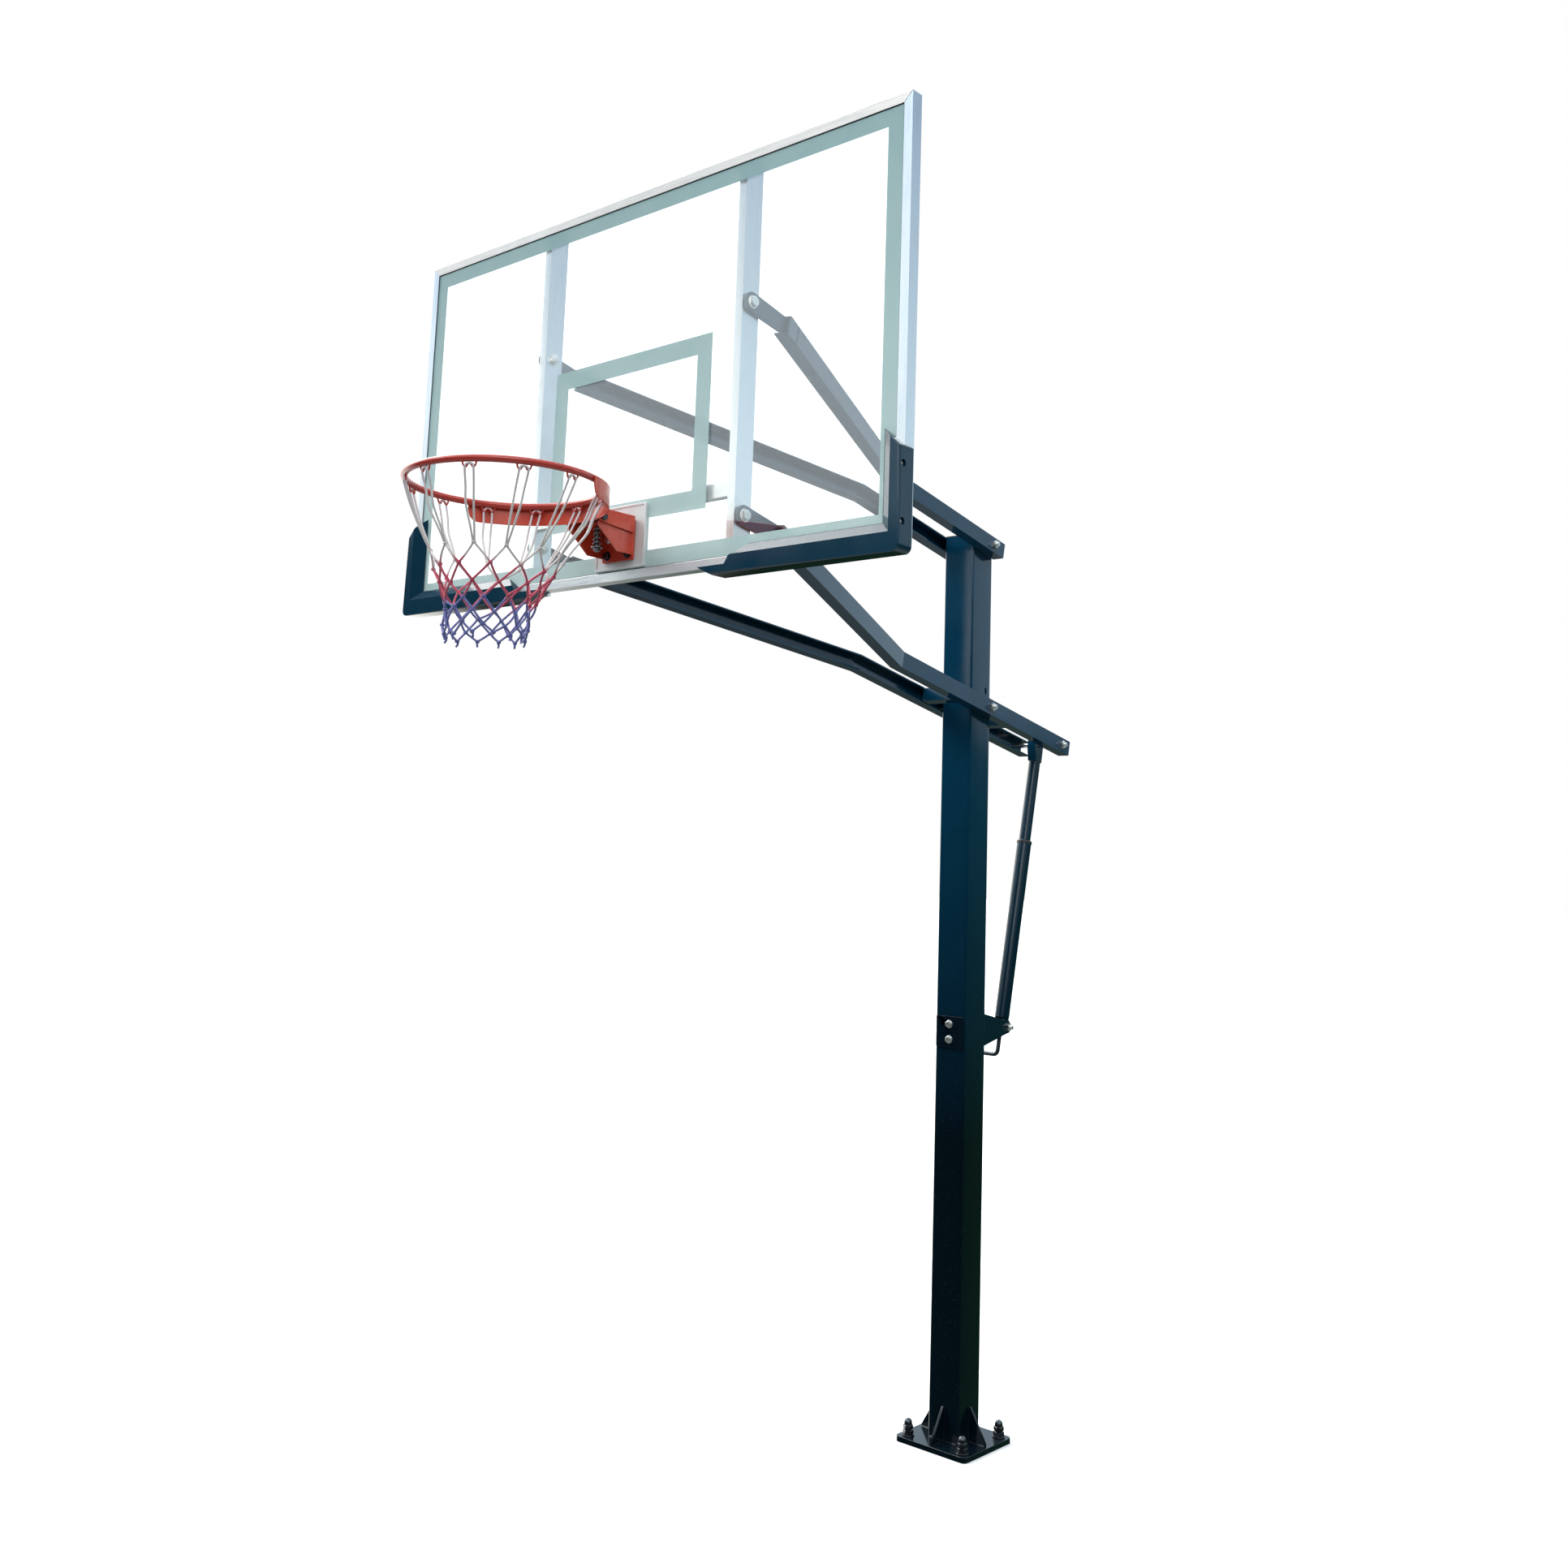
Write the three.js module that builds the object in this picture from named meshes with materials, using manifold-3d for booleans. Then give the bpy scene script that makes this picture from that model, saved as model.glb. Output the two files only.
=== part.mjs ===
// Height-adjustable basketball hoop on a bolt-down square pole.
// Units are millimetres. +Z is up, the backboard faces -Y, and the origin is the
// centre of the base plate's underside.

import * as THREE from 'three';
import { mergeVertices } from 'three/addons/utils/BufferGeometryUtils.js';
import Module from 'manifold-3d';

const wasm = await Module();
wasm.setup();

// ---------------------------------------------------------------- driving dimensions

const GAP = 0.3;                    // clearance between pieces that touch

// Pole and base
const POLE_SIDE = 114;
const POLE_WALL = 5;
const POLE_CORNER = 8;
const POLE_TOP = 2849;
const BASE_SIDE = 260;
const BASE_THICKNESS = 16;
const BASE_CORNER = 16;
const ANCHOR_SPACING = 200;
const GUSSET = { reach: 62, height: 100, thickness: 8, lip: 6 };
const ANCHOR = { hole: 11, washer: 20, nut: 17, capNut: 16 };   // radii
const LOCK_SLOT = { y: 28, bottom: 2330, top: 2342, radius: 5 };
const CAP = { lid: 4, plug: 12, inset: 1 };

// Parallelogram arms: both pairs turn about bolts through the pole
const LOWER_PIVOT_Z = 2278;
const UPPER_PIVOT_Z = 2819;
const FRONT_PIVOT = { y: -1532, rise: 303 };   // front bolts, from the pole bolts
const ARM = { depth: 40, height: 50, wall: 4, inner: 60 };
const ARM_BEND = 500;               // first bend, along the arm from the pole bolt
const ARM_TAB_START = 1440;         // second bend, where the flat tab begins
const TAB = { thickness: 8, radius: 26, overlap: 60, inset: 16 };
const LOWER_ARM_TAIL = 500;
const UPPER_ARM_TAIL = 62;
const BRACE = { depth: 36, bottom: -23, top: 22, wall: 5 };
const BRACE_ALONG = { front: 165, back: -125 };

// Bolts: shank radii in mm, and the rest as shares of the shank radius
const PIVOT_BOLT_R = 8;
const JACK_FOOT_BOLT_R = 7;
const BOLT_PLAY = 0.5;
const BOLT_SHAPE = { washer: 2.1, hex: 1.75, head: 1.1 };
const WASHER = 2;
const THREAD_END = 4;

// Backboard
const BOARD = { width: 1800, height: 1050, front: -1578, bottom: 2452 };
const RAIL = { face: 24, depth: 35, wall: 2.5 };
const GLASS_THICKNESS = 12;
const UPRIGHT = { x: 372, width: 24, depth: 60, wall: 3 };
const UPRIGHT_FRONT = BOARD.front + 2 * RAIL.wall + GLASS_THICKNESS + 3 * GAP;

// Rim
const RING = { radius: 237.5, bar: 9, y: -1963, z: 2625 };
const RIM_PIVOT = { y: -1700, z: 2588 };
const SPRING = { y: -1660, radius: 12, wire: 1.6, turns: 5 };
const MOUNT_PLATE = { halfWidth: 91, bottom: 2480, top: 2647, thickness: 8 };

// Jack between the pole and the lower arms
const JACK_FOOT = { y: 235, z: 1240 };
const JACK_BOLT_ALONG = -449;       // along the lower arm, behind the pole
const HOUSING = { radius: 24, bore: 20, bottom: 28, top: 620 };
const ROD = { radius: 19.4, bottom: 205 };
const CRANK = { radius: 7, top: -20, drop: 92, reach: 108, bend: 14, grip: 105, gripRadius: 13 };

// ---------------------------------------------------------------- derived dimensions

const POLE_HALF = POLE_SIDE / 2;
const ARM_ANGLE = Math.atan2(FRONT_PIVOT.rise, -FRONT_PIVOT.y);
const ARM_LENGTH = Math.hypot(FRONT_PIVOT.rise, FRONT_PIVOT.y);
const ARM_MID = ARM.inner + ARM.depth / 2;
const UPRIGHT_OUTER = UPRIGHT.x + UPRIGHT.width / 2;
const UPRIGHT_BACK = UPRIGHT_FRONT + UPRIGHT.depth;
const TAB_INNER = UPRIGHT_OUTER + 1;
const BOARD_TOP = BOARD.bottom + BOARD.height;
const RAIL_BACK = BOARD.front + RAIL.depth;
const GLASS_FRONT = BOARD.front + RAIL.wall + GAP;
const GLASS_BACK = GLASS_FRONT + GLASS_THICKNESS;
const LOWER_FRONT_Z = LOWER_PIVOT_Z + FRONT_PIVOT.rise;
const UPPER_FRONT_Z = UPPER_PIVOT_Z + FRONT_PIVOT.rise;
const JACK_BOLT = {
  y: -JACK_BOLT_ALONG * Math.cos(ARM_ANGLE),
  z: LOWER_PIVOT_Z + JACK_BOLT_ALONG * Math.sin(ARM_ANGLE),
};
const JACK_TILT = Math.atan2(JACK_BOLT.y - JACK_FOOT.y, JACK_BOLT.z - JACK_FOOT.z);
const JACK_LENGTH = Math.hypot(JACK_BOLT.y - JACK_FOOT.y, JACK_BOLT.z - JACK_FOOT.z);

// ---------------------------------------------------------------- materials

const finish = (color, roughness, metalness) => ({ color, roughness, metalness });
const NAVY = finish(0x0b1f33, 0.25, 0.3);
const ALUMINIUM = finish(0xcfd6dc, 0.4, 0.9);
const GLASS = finish(0xd6efe8, 0.05, 0);
const ORANGE = finish(0xc4391f, 0.3, 0.1);
const ZINC = finish(0xc9c9c4, 0.35, 0.95);
const SILVER = finish(0xd8d8d6, 0.4, 0.3);
const DARK_STEEL = finish(0x3a3d42, 0.45, 0.9);
const PAD = finish(0x16283b, 0.5, 0);
const NET_CORD = finish(0xe9e6e2, 0.8, 0);
const BLACK_PLASTIC = finish(0x15171a, 0.6, 0);

const object = new THREE.Group();

function mesh(name, geometry, look, parent = object) {
  const part = new THREE.Mesh(geometry, new THREE.MeshStandardMaterial(look));
  part.name = name;
  parent.add(part);
  return part;
}

// ---------------------------------------------------------------- solid helpers

function toSolid(geometry) {
  const bare = geometry.clone();
  bare.deleteAttribute('normal');
  bare.deleteAttribute('uv');
  const merged = mergeVertices(bare, 1e-3);
  return new wasm.Manifold(new wasm.Mesh({
    numProp: 3,
    vertProperties: new Float32Array(merged.attributes.position.array),
    triVerts: new Uint32Array(merged.index.array),
  }));
}

function toGeometry(solid) {
  const out = solid.getMesh();
  const geometry = new THREE.BufferGeometry();
  geometry.setAttribute('position', new THREE.BufferAttribute(out.vertProperties, 3));
  geometry.setIndex(new THREE.BufferAttribute(out.triVerts, 1));
  return geometry;
}

function join(...geometries) {
  return toGeometry(geometries.map(toSolid).reduce((sum, next) => sum.add(next)));
}

function cut(geometry, ...cutters) {
  return toGeometry(cutters.map(toSolid).reduce((rest, next) => rest.subtract(next), toSolid(geometry)));
}

function box(x0, x1, y0, y1, z0, z1) {
  const geometry = new THREE.BoxGeometry(x1 - x0, y1 - y0, z1 - z0);
  return geometry.translate((x0 + x1) / 2, (y0 + y1) / 2, (z0 + z1) / 2);
}

function extrude(shape, depth, curveSegments = 8) {
  return new THREE.ExtrudeGeometry(shape, { depth, bevelEnabled: false, curveSegments });
}

function outline(points) {
  return new THREE.Shape(points.map(([x, y]) => new THREE.Vector2(x, y)));
}

// Prisms whose outline lies square to one axis.
function prismX(shape, x0, x1, curveSegments) {
  const basis = new THREE.Matrix4().makeBasis(
    new THREE.Vector3(0, 1, 0), new THREE.Vector3(0, 0, 1), new THREE.Vector3(1, 0, 0));
  return extrude(shape, x1 - x0, curveSegments).applyMatrix4(basis).translate(x0, 0, 0);
}

function prismY(shape, y0, y1, curveSegments) {
  const basis = new THREE.Matrix4().makeBasis(
    new THREE.Vector3(1, 0, 0), new THREE.Vector3(0, 0, 1), new THREE.Vector3(0, -1, 0));
  return extrude(shape, y1 - y0, curveSegments).applyMatrix4(basis).translate(0, y1, 0);
}

function prismZ(shape, z0, z1, curveSegments) {
  return extrude(shape, z1 - z0, curveSegments).translate(0, 0, z0);
}

function roundedRect(x0, x1, y0, y1, r) {
  const shape = new THREE.Shape();
  shape.moveTo(x0 + r, y0).lineTo(x1 - r, y0).absarc(x1 - r, y0 + r, r, -Math.PI / 2, 0);
  shape.lineTo(x1, y1 - r).absarc(x1 - r, y1 - r, r, 0, Math.PI / 2);
  shape.lineTo(x0 + r, y1).absarc(x0 + r, y1 - r, r, Math.PI / 2, Math.PI);
  shape.lineTo(x0, y0 + r).absarc(x0 + r, y0 + r, r, Math.PI, Math.PI * 1.5);
  return shape;
}

// Cylinder of radius r between two points.
function rod(r, from, to, sides = 10) {
  const start = new THREE.Vector3(...from);
  const along = new THREE.Vector3(...to).sub(start);
  const geometry = new THREE.CylinderGeometry(r, r, along.length(), sides);
  geometry.translate(0, along.length() / 2, 0);
  const turn = new THREE.Quaternion().setFromUnitVectors(
    new THREE.Vector3(0, 1, 0), along.clone().normalize());
  return geometry.applyQuaternion(turn).translate(start.x, start.y, start.z);
}

// Ring made by turning a closed rectangle about Z.
function collar(inner, outer, z0, z1, sides = 20) {
  const profile = [[inner, z0], [outer, z0], [outer, z1], [inner, z1], [inner, z0]];
  const points = profile.map(([x, y]) => new THREE.Vector2(x, y));
  return new THREE.LatheGeometry(points, sides).rotateX(Math.PI / 2);
}

// Through bolt along +Z: washer and head at the top, washer and nut at the bottom.
function bolt(r, grip) {
  const washerR = r * BOLT_SHAPE.washer;
  const hexR = r * BOLT_SHAPE.hex;
  const head = WASHER + r * BOLT_SHAPE.head;
  return join(
    rod(r, [0, 0, -grip - head - THREAD_END], [0, 0, WASHER + 1], 8),
    rod(washerR, [0, 0, GAP], [0, 0, GAP + WASHER], 12),
    rod(hexR, [0, 0, WASHER], [0, 0, head], 6),
    rod(washerR, [0, 0, -grip - GAP - WASHER], [0, 0, -grip - GAP], 12),
    rod(hexR, [0, 0, -grip - head], [0, 0, -grip - WASHER], 6));
}

// Section of (lateral, height) points swept along a bent path of (x, along) points,
// with mitred bends. "along" runs towards -Y.
function mitredSweep(section, path) {
  const sides = [];
  for (let i = 0; i < path.length - 1; i++) {
    const dx = path[i + 1][0] - path[i][0];
    const ds = path[i + 1][1] - path[i][1];
    const length = Math.hypot(dx, ds);
    sides.push(new THREE.Vector2(ds / length, -dx / length));
  }
  const offsets = path.map((_, i) => {
    const before = sides[Math.max(i - 1, 0)];
    const after = sides[Math.min(i, sides.length - 1)];
    const sum = before.clone().add(after);
    return sum.divideScalar(1 + before.dot(after));
  });
  const steps = path.length - 1;
  const geometry = new THREE.ExtrudeGeometry(outline(section), { depth: 1, steps, bevelEnabled: false });
  const position = geometry.attributes.position;
  for (let i = 0; i < position.count; i++) {
    const row = Math.round(position.getZ(i) * steps);
    const lateral = position.getX(i);
    const x = path[row][0] + offsets[row].x * lateral;
    const along = path[row][1] + offsets[row].y * lateral;
    position.setXYZ(i, x, -along, position.getY(i));
  }
  return geometry;
}

// ---------------------------------------------------------------- pole and base

const BOLT_HOLE = PIVOT_BOLT_R + BOLT_PLAY;
const CLAMP = { bottom: 1190, top: 1287, halfWidth: 50, thickness: 6, boltR: 6, bolts: [1215.5, 1263] };

function poleTube() {
  const shape = roundedRect(-POLE_HALF, POLE_HALF, -POLE_HALF, POLE_HALF, POLE_CORNER);
  const inside = POLE_HALF - POLE_WALL;
  shape.holes.push(roundedRect(-inside, inside, -inside, inside, POLE_CORNER - POLE_WALL));
  const tube = prismZ(shape, BASE_THICKNESS + GAP, POLE_TOP, 3);
  const reach = POLE_SIDE;
  const across = (y, z, r) => rod(r, [-reach, y, z], [reach, y, z], 10);
  const through = CLAMP.bolts.map((z) => rod(CLAMP.boltR + BOLT_PLAY, [0, -reach, z], [0, reach, z], 8));
  const { y, bottom, top, radius } = LOCK_SLOT;
  const lockHole = join(across(y, bottom, radius), across(y, top, radius),
    box(-reach, reach, y - radius, y + radius, bottom, top));
  return cut(tube, across(0, LOWER_PIVOT_Z, BOLT_HOLE), across(0, UPPER_PIVOT_Z, BOLT_HOLE),
    lockHole, ...through);
}

function poleCap() {
  const inside = POLE_HALF - POLE_WALL - CAP.inset;
  const lid = prismZ(roundedRect(-POLE_HALF, POLE_HALF, -POLE_HALF, POLE_HALF, POLE_CORNER),
    POLE_TOP + GAP, POLE_TOP + CAP.lid, 3);
  const plug = prismZ(roundedRect(-inside, inside, -inside, inside, POLE_CORNER - POLE_WALL - CAP.inset),
    POLE_TOP - CAP.plug, POLE_TOP + CAP.lid / 2, 2);
  return join(lid, plug);
}

function basePlate() {
  const half = BASE_SIDE / 2;
  const shape = roundedRect(-half, half, -half, half, BASE_CORNER);
  const pitch = ANCHOR_SPACING / 2;
  for (const x of [-pitch, pitch]) {
    for (const y of [-pitch, pitch]) {
      shape.holes.push(new THREE.Path().absarc(x, y, ANCHOR.hole, 0, Math.PI * 2));
    }
  }
  return prismZ(shape, 0, BASE_THICKNESS, 5);
}

function gusset() {
  const start = POLE_HALF + GAP;
  const foot = BASE_THICKNESS + GAP;
  const { reach, height, thickness, lip } = GUSSET;
  const shape = outline([[start, foot], [start + reach, foot], [start + reach, foot + lip],
    [start + lip, foot + height], [start, foot + height]]);
  return prismX(shape, -thickness / 2, thickness / 2);
}

// Stud with washer, nut and a domed cap nut. The profile is (radius, height).
function anchorBolt() {
  const seat = BASE_THICKNESS + GAP;
  const stud = [[0, 1], [9, 1], [9, 44], [14, 46], [14, 55], [11, 61], [6, 65], [0, 66.5]];
  const profile = stud.map(([x, y]) => new THREE.Vector2(x, y));
  const studAndDome = new THREE.LatheGeometry(profile, 10).rotateX(Math.PI / 2);
  const layer = (r, from, to, sides) => rod(r, [0, 0, seat + from], [0, 0, seat + to], sides);
  return join(studAndDome, layer(ANCHOR.washer, 0, 3, 14), layer(ANCHOR.nut, 2, 17, 6),
    layer(ANCHOR.capNut, 19, 32, 6));
}

mesh('pole_tube', poleTube(), NAVY);
mesh('pole_cap', poleCap(), BLACK_PLASTIC);
mesh('base_plate', basePlate(), NAVY);
['back', 'left', 'front', 'right'].forEach((side, i) => {
  mesh(`gusset_${side}`, gusset(), NAVY).rotation.z = i * Math.PI / 2;
});
for (const [side, x] of [['left', -1], ['right', 1]]) {
  for (const [end, y] of [['front', -1], ['back', 1]]) {
    const anchor = mesh(`anchor_bolt_${end}_${side}`, anchorBolt(), DARK_STEEL);
    anchor.position.set(x * ANCHOR_SPACING / 2, y * ANCHOR_SPACING / 2, 0);
  }
}

// ---------------------------------------------------------------- jack bracket

const EAR = { inner: 22, outer: 28, radius: 20, rootBottom: 1180, rootTop: 1296 };
const JACK_PLATE = { bottom: 1176, top: 1300 };

function jackBracket() {
  const face = POLE_HALF + GAP;
  const back = face + CLAMP.thickness;
  const ear = new THREE.Shape();
  ear.moveTo(back - 1, EAR.rootBottom).lineTo(JACK_FOOT.y - 4, JACK_FOOT.z - EAR.radius);
  ear.absarc(JACK_FOOT.y, JACK_FOOT.z, EAR.radius, -Math.PI / 2, Math.PI / 2);
  ear.lineTo(back - 1, EAR.rootTop);
  const pin = rod(JACK_FOOT_BOLT_R + BOLT_PLAY, [-CLAMP.halfWidth, JACK_FOOT.y, JACK_FOOT.z],
    [CLAMP.halfWidth, JACK_FOOT.y, JACK_FOOT.z]);
  const holes = CLAMP.bolts.map((z) => rod(CLAMP.boltR + BOLT_PLAY, [0, face - 5, z], [0, back + 5, z], 12));
  const plate = box(-CLAMP.halfWidth, CLAMP.halfWidth, face, back, JACK_PLATE.bottom, JACK_PLATE.top);
  return cut(join(plate, prismX(ear, -EAR.outer, -EAR.inner, 6), prismX(ear, EAR.inner, EAR.outer, 6)),
    pin, ...holes);
}

function clampPlate() {
  const face = -POLE_HALF - GAP;
  const shape = roundedRect(-CLAMP.halfWidth, CLAMP.halfWidth, CLAMP.bottom, CLAMP.top, 4);
  for (const z of CLAMP.bolts) {
    shape.holes.push(new THREE.Path().absarc(0, z, CLAMP.boltR + BOLT_PLAY, 0, Math.PI * 2));
  }
  return prismY(shape, face - CLAMP.thickness, face, 4);
}

mesh('jack_bracket', jackBracket(), NAVY);
mesh('clamp_plate_front', clampPlate(), NAVY);
['lower', 'upper'].forEach((name, i) => {
  const grip = 2 * (POLE_HALF + GAP + CLAMP.thickness);
  const clampBolt = mesh(`clamp_bolt_${name}`, bolt(CLAMP.boltR, grip).rotateX(Math.PI / 2), ZINC);
  clampBolt.position.set(0, -grip / 2, CLAMP.bolts[i]);
});

// Bolt whose head points towards +X (side 1) or -X (side -1), with its seat at x.
function crossBolt(name, r, grip, x, y, z, side = 1, parent = object) {
  const piece = mesh(name, bolt(r, grip).rotateY(side * Math.PI / 2), ZINC, parent);
  piece.position.set(x, y, z);
  return piece;
}

const ARM_OUTER = ARM.inner + ARM.depth;
crossBolt('lower_pivot_bolt', PIVOT_BOLT_R, 2 * ARM_OUTER, ARM_OUTER, 0, LOWER_PIVOT_Z);
crossBolt('upper_pivot_bolt', PIVOT_BOLT_R, 2 * ARM_OUTER, ARM_OUTER, 0, UPPER_PIVOT_Z);
crossBolt('jack_foot_bolt', JACK_FOOT_BOLT_R, 2 * EAR.outer, EAR.outer, JACK_FOOT.y, JACK_FOOT.z);

// ---------------------------------------------------------------- parallelogram arms

// One arm, in its own frame: pole bolt at the origin, arm running towards -Y.
// It is a channel open towards the pole, ending in a flat tab with a round end.
function arm(side, tail) {
  const half = ARM.depth / 2;
  const high = ARM.height / 2;
  const web = half - ARM.wall;
  const flange = high - ARM.wall;
  const channel = [[half, -high], [half, high], [-half, high], [-half, flange], [web, flange],
    [web, -flange], [-half, -flange], [-half, -high]].map(([x, z]) => [side * x, z]);
  const endMid = TAB_INNER + TAB.thickness - half + TAB.inset;
  const path = [[side * ARM_MID, -tail], [side * ARM_MID, ARM_BEND], [side * endMid, ARM_TAB_START]];
  const tab = new THREE.Shape();
  const root = -ARM_TAB_START + TAB.overlap;
  const rootHigh = TAB.radius - 4;
  tab.moveTo(root, -rootHigh).lineTo(root, rootHigh).lineTo(-ARM_LENGTH, TAB.radius);
  tab.absarc(-ARM_LENGTH, 0, TAB.radius, Math.PI / 2, Math.PI * 1.5);
  const near = side * TAB_INNER;
  const far = side * (TAB_INNER + TAB.thickness);
  const plate = prismX(tab, Math.min(near, far), Math.max(near, far), 10);
  const hole = (x, y) => rod(BOLT_HOLE, [side * (x - ARM.depth), y, 0], [side * (x + ARM.depth), y, 0]);
  const holes = [hole(ARM_MID, 0), hole(TAB_INNER, -ARM_LENGTH)];
  if (tail > -JACK_BOLT_ALONG) {
    holes.push(hole(ARM_MID, -JACK_BOLT_ALONG));
  }
  return cut(join(mitredSweep(channel, path), plate), ...holes);
}

// Angle bar between the two lower arms, in the arm's frame.
function brace(along) {
  const half = ARM.inner - GAP;
  const { depth, bottom, top, wall } = BRACE;
  const section = outline([[0, bottom], [depth, bottom], [depth, bottom + wall], [wall, bottom + wall],
    [wall, top], [0, top]]);
  return prismX(section, -half, half).translate(0, -along, 0);
}

const lowerArms = new THREE.Group();
lowerArms.position.z = LOWER_PIVOT_Z;
lowerArms.rotation.x = -ARM_ANGLE;
object.add(lowerArms);
const upperArms = new THREE.Group();
upperArms.position.z = UPPER_PIVOT_Z;
upperArms.rotation.x = -ARM_ANGLE;
object.add(upperArms);

for (const [name, side] of [['left', -1], ['right', 1]]) {
  mesh(`lower_arm_${name}`, arm(side, LOWER_ARM_TAIL), NAVY, lowerArms);
  mesh(`upper_arm_${name}`, arm(side, UPPER_ARM_TAIL), NAVY, upperArms);
}
mesh('lower_brace_front', brace(BRACE_ALONG.front), NAVY, lowerArms);
mesh('lower_brace_back', brace(BRACE_ALONG.back), NAVY, lowerArms);
crossBolt('jack_top_bolt', PIVOT_BOLT_R, 2 * ARM_OUTER, ARM_OUTER, -JACK_BOLT_ALONG, 0, 1, lowerArms);

// ---------------------------------------------------------------- backboard

// Frame rail: section of (inwards, backwards) points along one edge, mitred at both ends.
function frameRail(length) {
  const { face, depth, wall } = RAIL;
  const groove = wall + GLASS_THICKNESS + 2 * GAP;
  const section = [[0, 0], [face, 0], [face, wall], [wall, wall], [wall, groove],
    [face, groove], [face, groove + wall], [wall, groove + wall], [wall, depth], [0, depth]];
  const geometry = new THREE.ExtrudeGeometry(outline(section), { depth: 1, bevelEnabled: false });
  const position = geometry.attributes.position;
  for (let i = 0; i < position.count; i++) {
    const inwards = position.getX(i);
    const end = (length / 2 - inwards - GAP) * (1 - 2 * position.getZ(i));
    position.setXYZ(i, end, position.getY(i), inwards);
  }
  return geometry;
}

const rails = [
  ['frame_rail_bottom', BOARD.width, 0],
  ['frame_rail_left', BOARD.height, Math.PI / 2],
  ['frame_rail_top', BOARD.width, Math.PI],
  ['frame_rail_right', BOARD.height, -Math.PI / 2],
];
for (const [name, length, turn] of rails) {
  const reach = (length === BOARD.width ? BOARD.height : BOARD.width) / 2;
  const rail = frameRail(length).translate(0, 0, -reach).rotateY(turn);
  mesh(name, rail, ALUMINIUM).position.set(0, BOARD.front, BOARD.bottom + BOARD.height / 2);
}

const RIM_BOLTS = { x: 38, z: [2517, 2562], r: 6, glassHole: 8, plateHole: 6.6 };
const eachRimBolt = RIM_BOLTS.z.flatMap((z) => [[-RIM_BOLTS.x, z], [RIM_BOLTS.x, z]]);

// Upright plate of half width x, pierced by the rim bolts.
function platePiece(x, z0, z1, y0, y1, corner = 4) {
  const shape = roundedRect(-x, x, z0, z1, corner);
  for (const [hx, hz] of eachRimBolt) {
    shape.holes.push(new THREE.Path().absarc(hx, hz, RIM_BOLTS.plateHole, 0, Math.PI * 2));
  }
  return prismY(shape, y0, y1, 4);
}

function glassPanel() {
  const inset = RAIL.wall + 0.5;    // into the frame's groove
  const shape = outline([[-1, -1], [1, -1], [1, 1], [-1, 1]].map(([x, z]) => [
    x * (BOARD.width / 2 - inset), BOARD.bottom + BOARD.height / 2 + z * (BOARD.height / 2 - inset)]));
  for (const [x, z] of eachRimBolt) {
    shape.holes.push(new THREE.Path().absarc(x, z, RIM_BOLTS.glassHole, 0, Math.PI * 2));
  }
  return prismY(shape, GLASS_FRONT, GLASS_BACK, 4);
}

function upright(side) {
  const { width, wall } = UPRIGHT;
  const x0 = side * UPRIGHT.x - width / 2;
  const shape = outline([[x0, UPRIGHT_FRONT], [x0 + width, UPRIGHT_FRONT],
    [x0 + width, UPRIGHT_BACK], [x0, UPRIGHT_BACK]]);
  shape.holes.push(outline([[x0 + wall, UPRIGHT_FRONT + wall], [x0 + width - wall, UPRIGHT_FRONT + wall],
    [x0 + width - wall, UPRIGHT_BACK - wall], [x0 + wall, UPRIGHT_BACK - wall]]));
  const tube = prismZ(shape, BOARD.bottom + RAIL.wall + GAP, BOARD_TOP - RAIL.wall - GAP);
  const holes = [LOWER_FRONT_Z, UPPER_FRONT_Z].map((z) => (
    rod(BOLT_HOLE, [x0 - width, FRONT_PIVOT.y, z], [x0 + 2 * width, FRONT_PIVOT.y, z])));
  return cut(tube, ...holes);
}

mesh('glass_panel', glassPanel(), GLASS);
for (const [name, side] of [['left', -1], ['right', 1]]) {
  mesh(`upright_${name}`, upright(side), ALUMINIUM);
  for (const [level, z] of [['lower', LOWER_FRONT_Z], ['upper', UPPER_FRONT_Z]]) {
    const seat = TAB_INNER + TAB.thickness;
    const grip = seat - UPRIGHT_OUTER + UPRIGHT.width;
    crossBolt(`front_bolt_${level}_${name}`, PIVOT_BOLT_R, grip, side * seat, FRONT_PIVOT.y, z, side);
  }
}

// Cross rails tie the uprights together behind the rim.
const CROSS = { front: UPRIGHT_FRONT + 4.5, depth: 25, wall: 3, lower: [2478, 2503], upper: [2630, 2668] };
const crossEnd = UPRIGHT.x - UPRIGHT.width / 2 - GAP;
for (const level of ['lower', 'upper']) {
  const [z0, z1] = CROSS[level];
  const { front, depth, wall } = CROSS;
  const back = front + depth;
  const shape = outline([[front, z0], [back, z0], [back, z1], [front, z1]]);
  shape.holes.push(outline([[front + wall, z0 + wall], [back - wall, z0 + wall], [back - wall, z1 - wall],
    [front + wall, z1 - wall]]));
  mesh(`cross_rail_${level}`, prismX(shape, -crossEnd, crossEnd), ALUMINIUM);
}

// Corner pads wrap the lower corners of the frame. The outline of the right one runs
// from its slanted inner end, round the outer corner, up to its tip and back along the lip.
const PAD_SIZE = { outer: 906, front: -1603, back: -1553, bottom: 2428, corner: 30 };
const PAD_TOP = [[906, 2664], [872, 2694], [844, 2716], [844, 2500]];
const PAD_END = [[446, 2500], [402, 2470], [390, 2451.5], [300, 2451.5]];
const PAD_START = 350;

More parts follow.
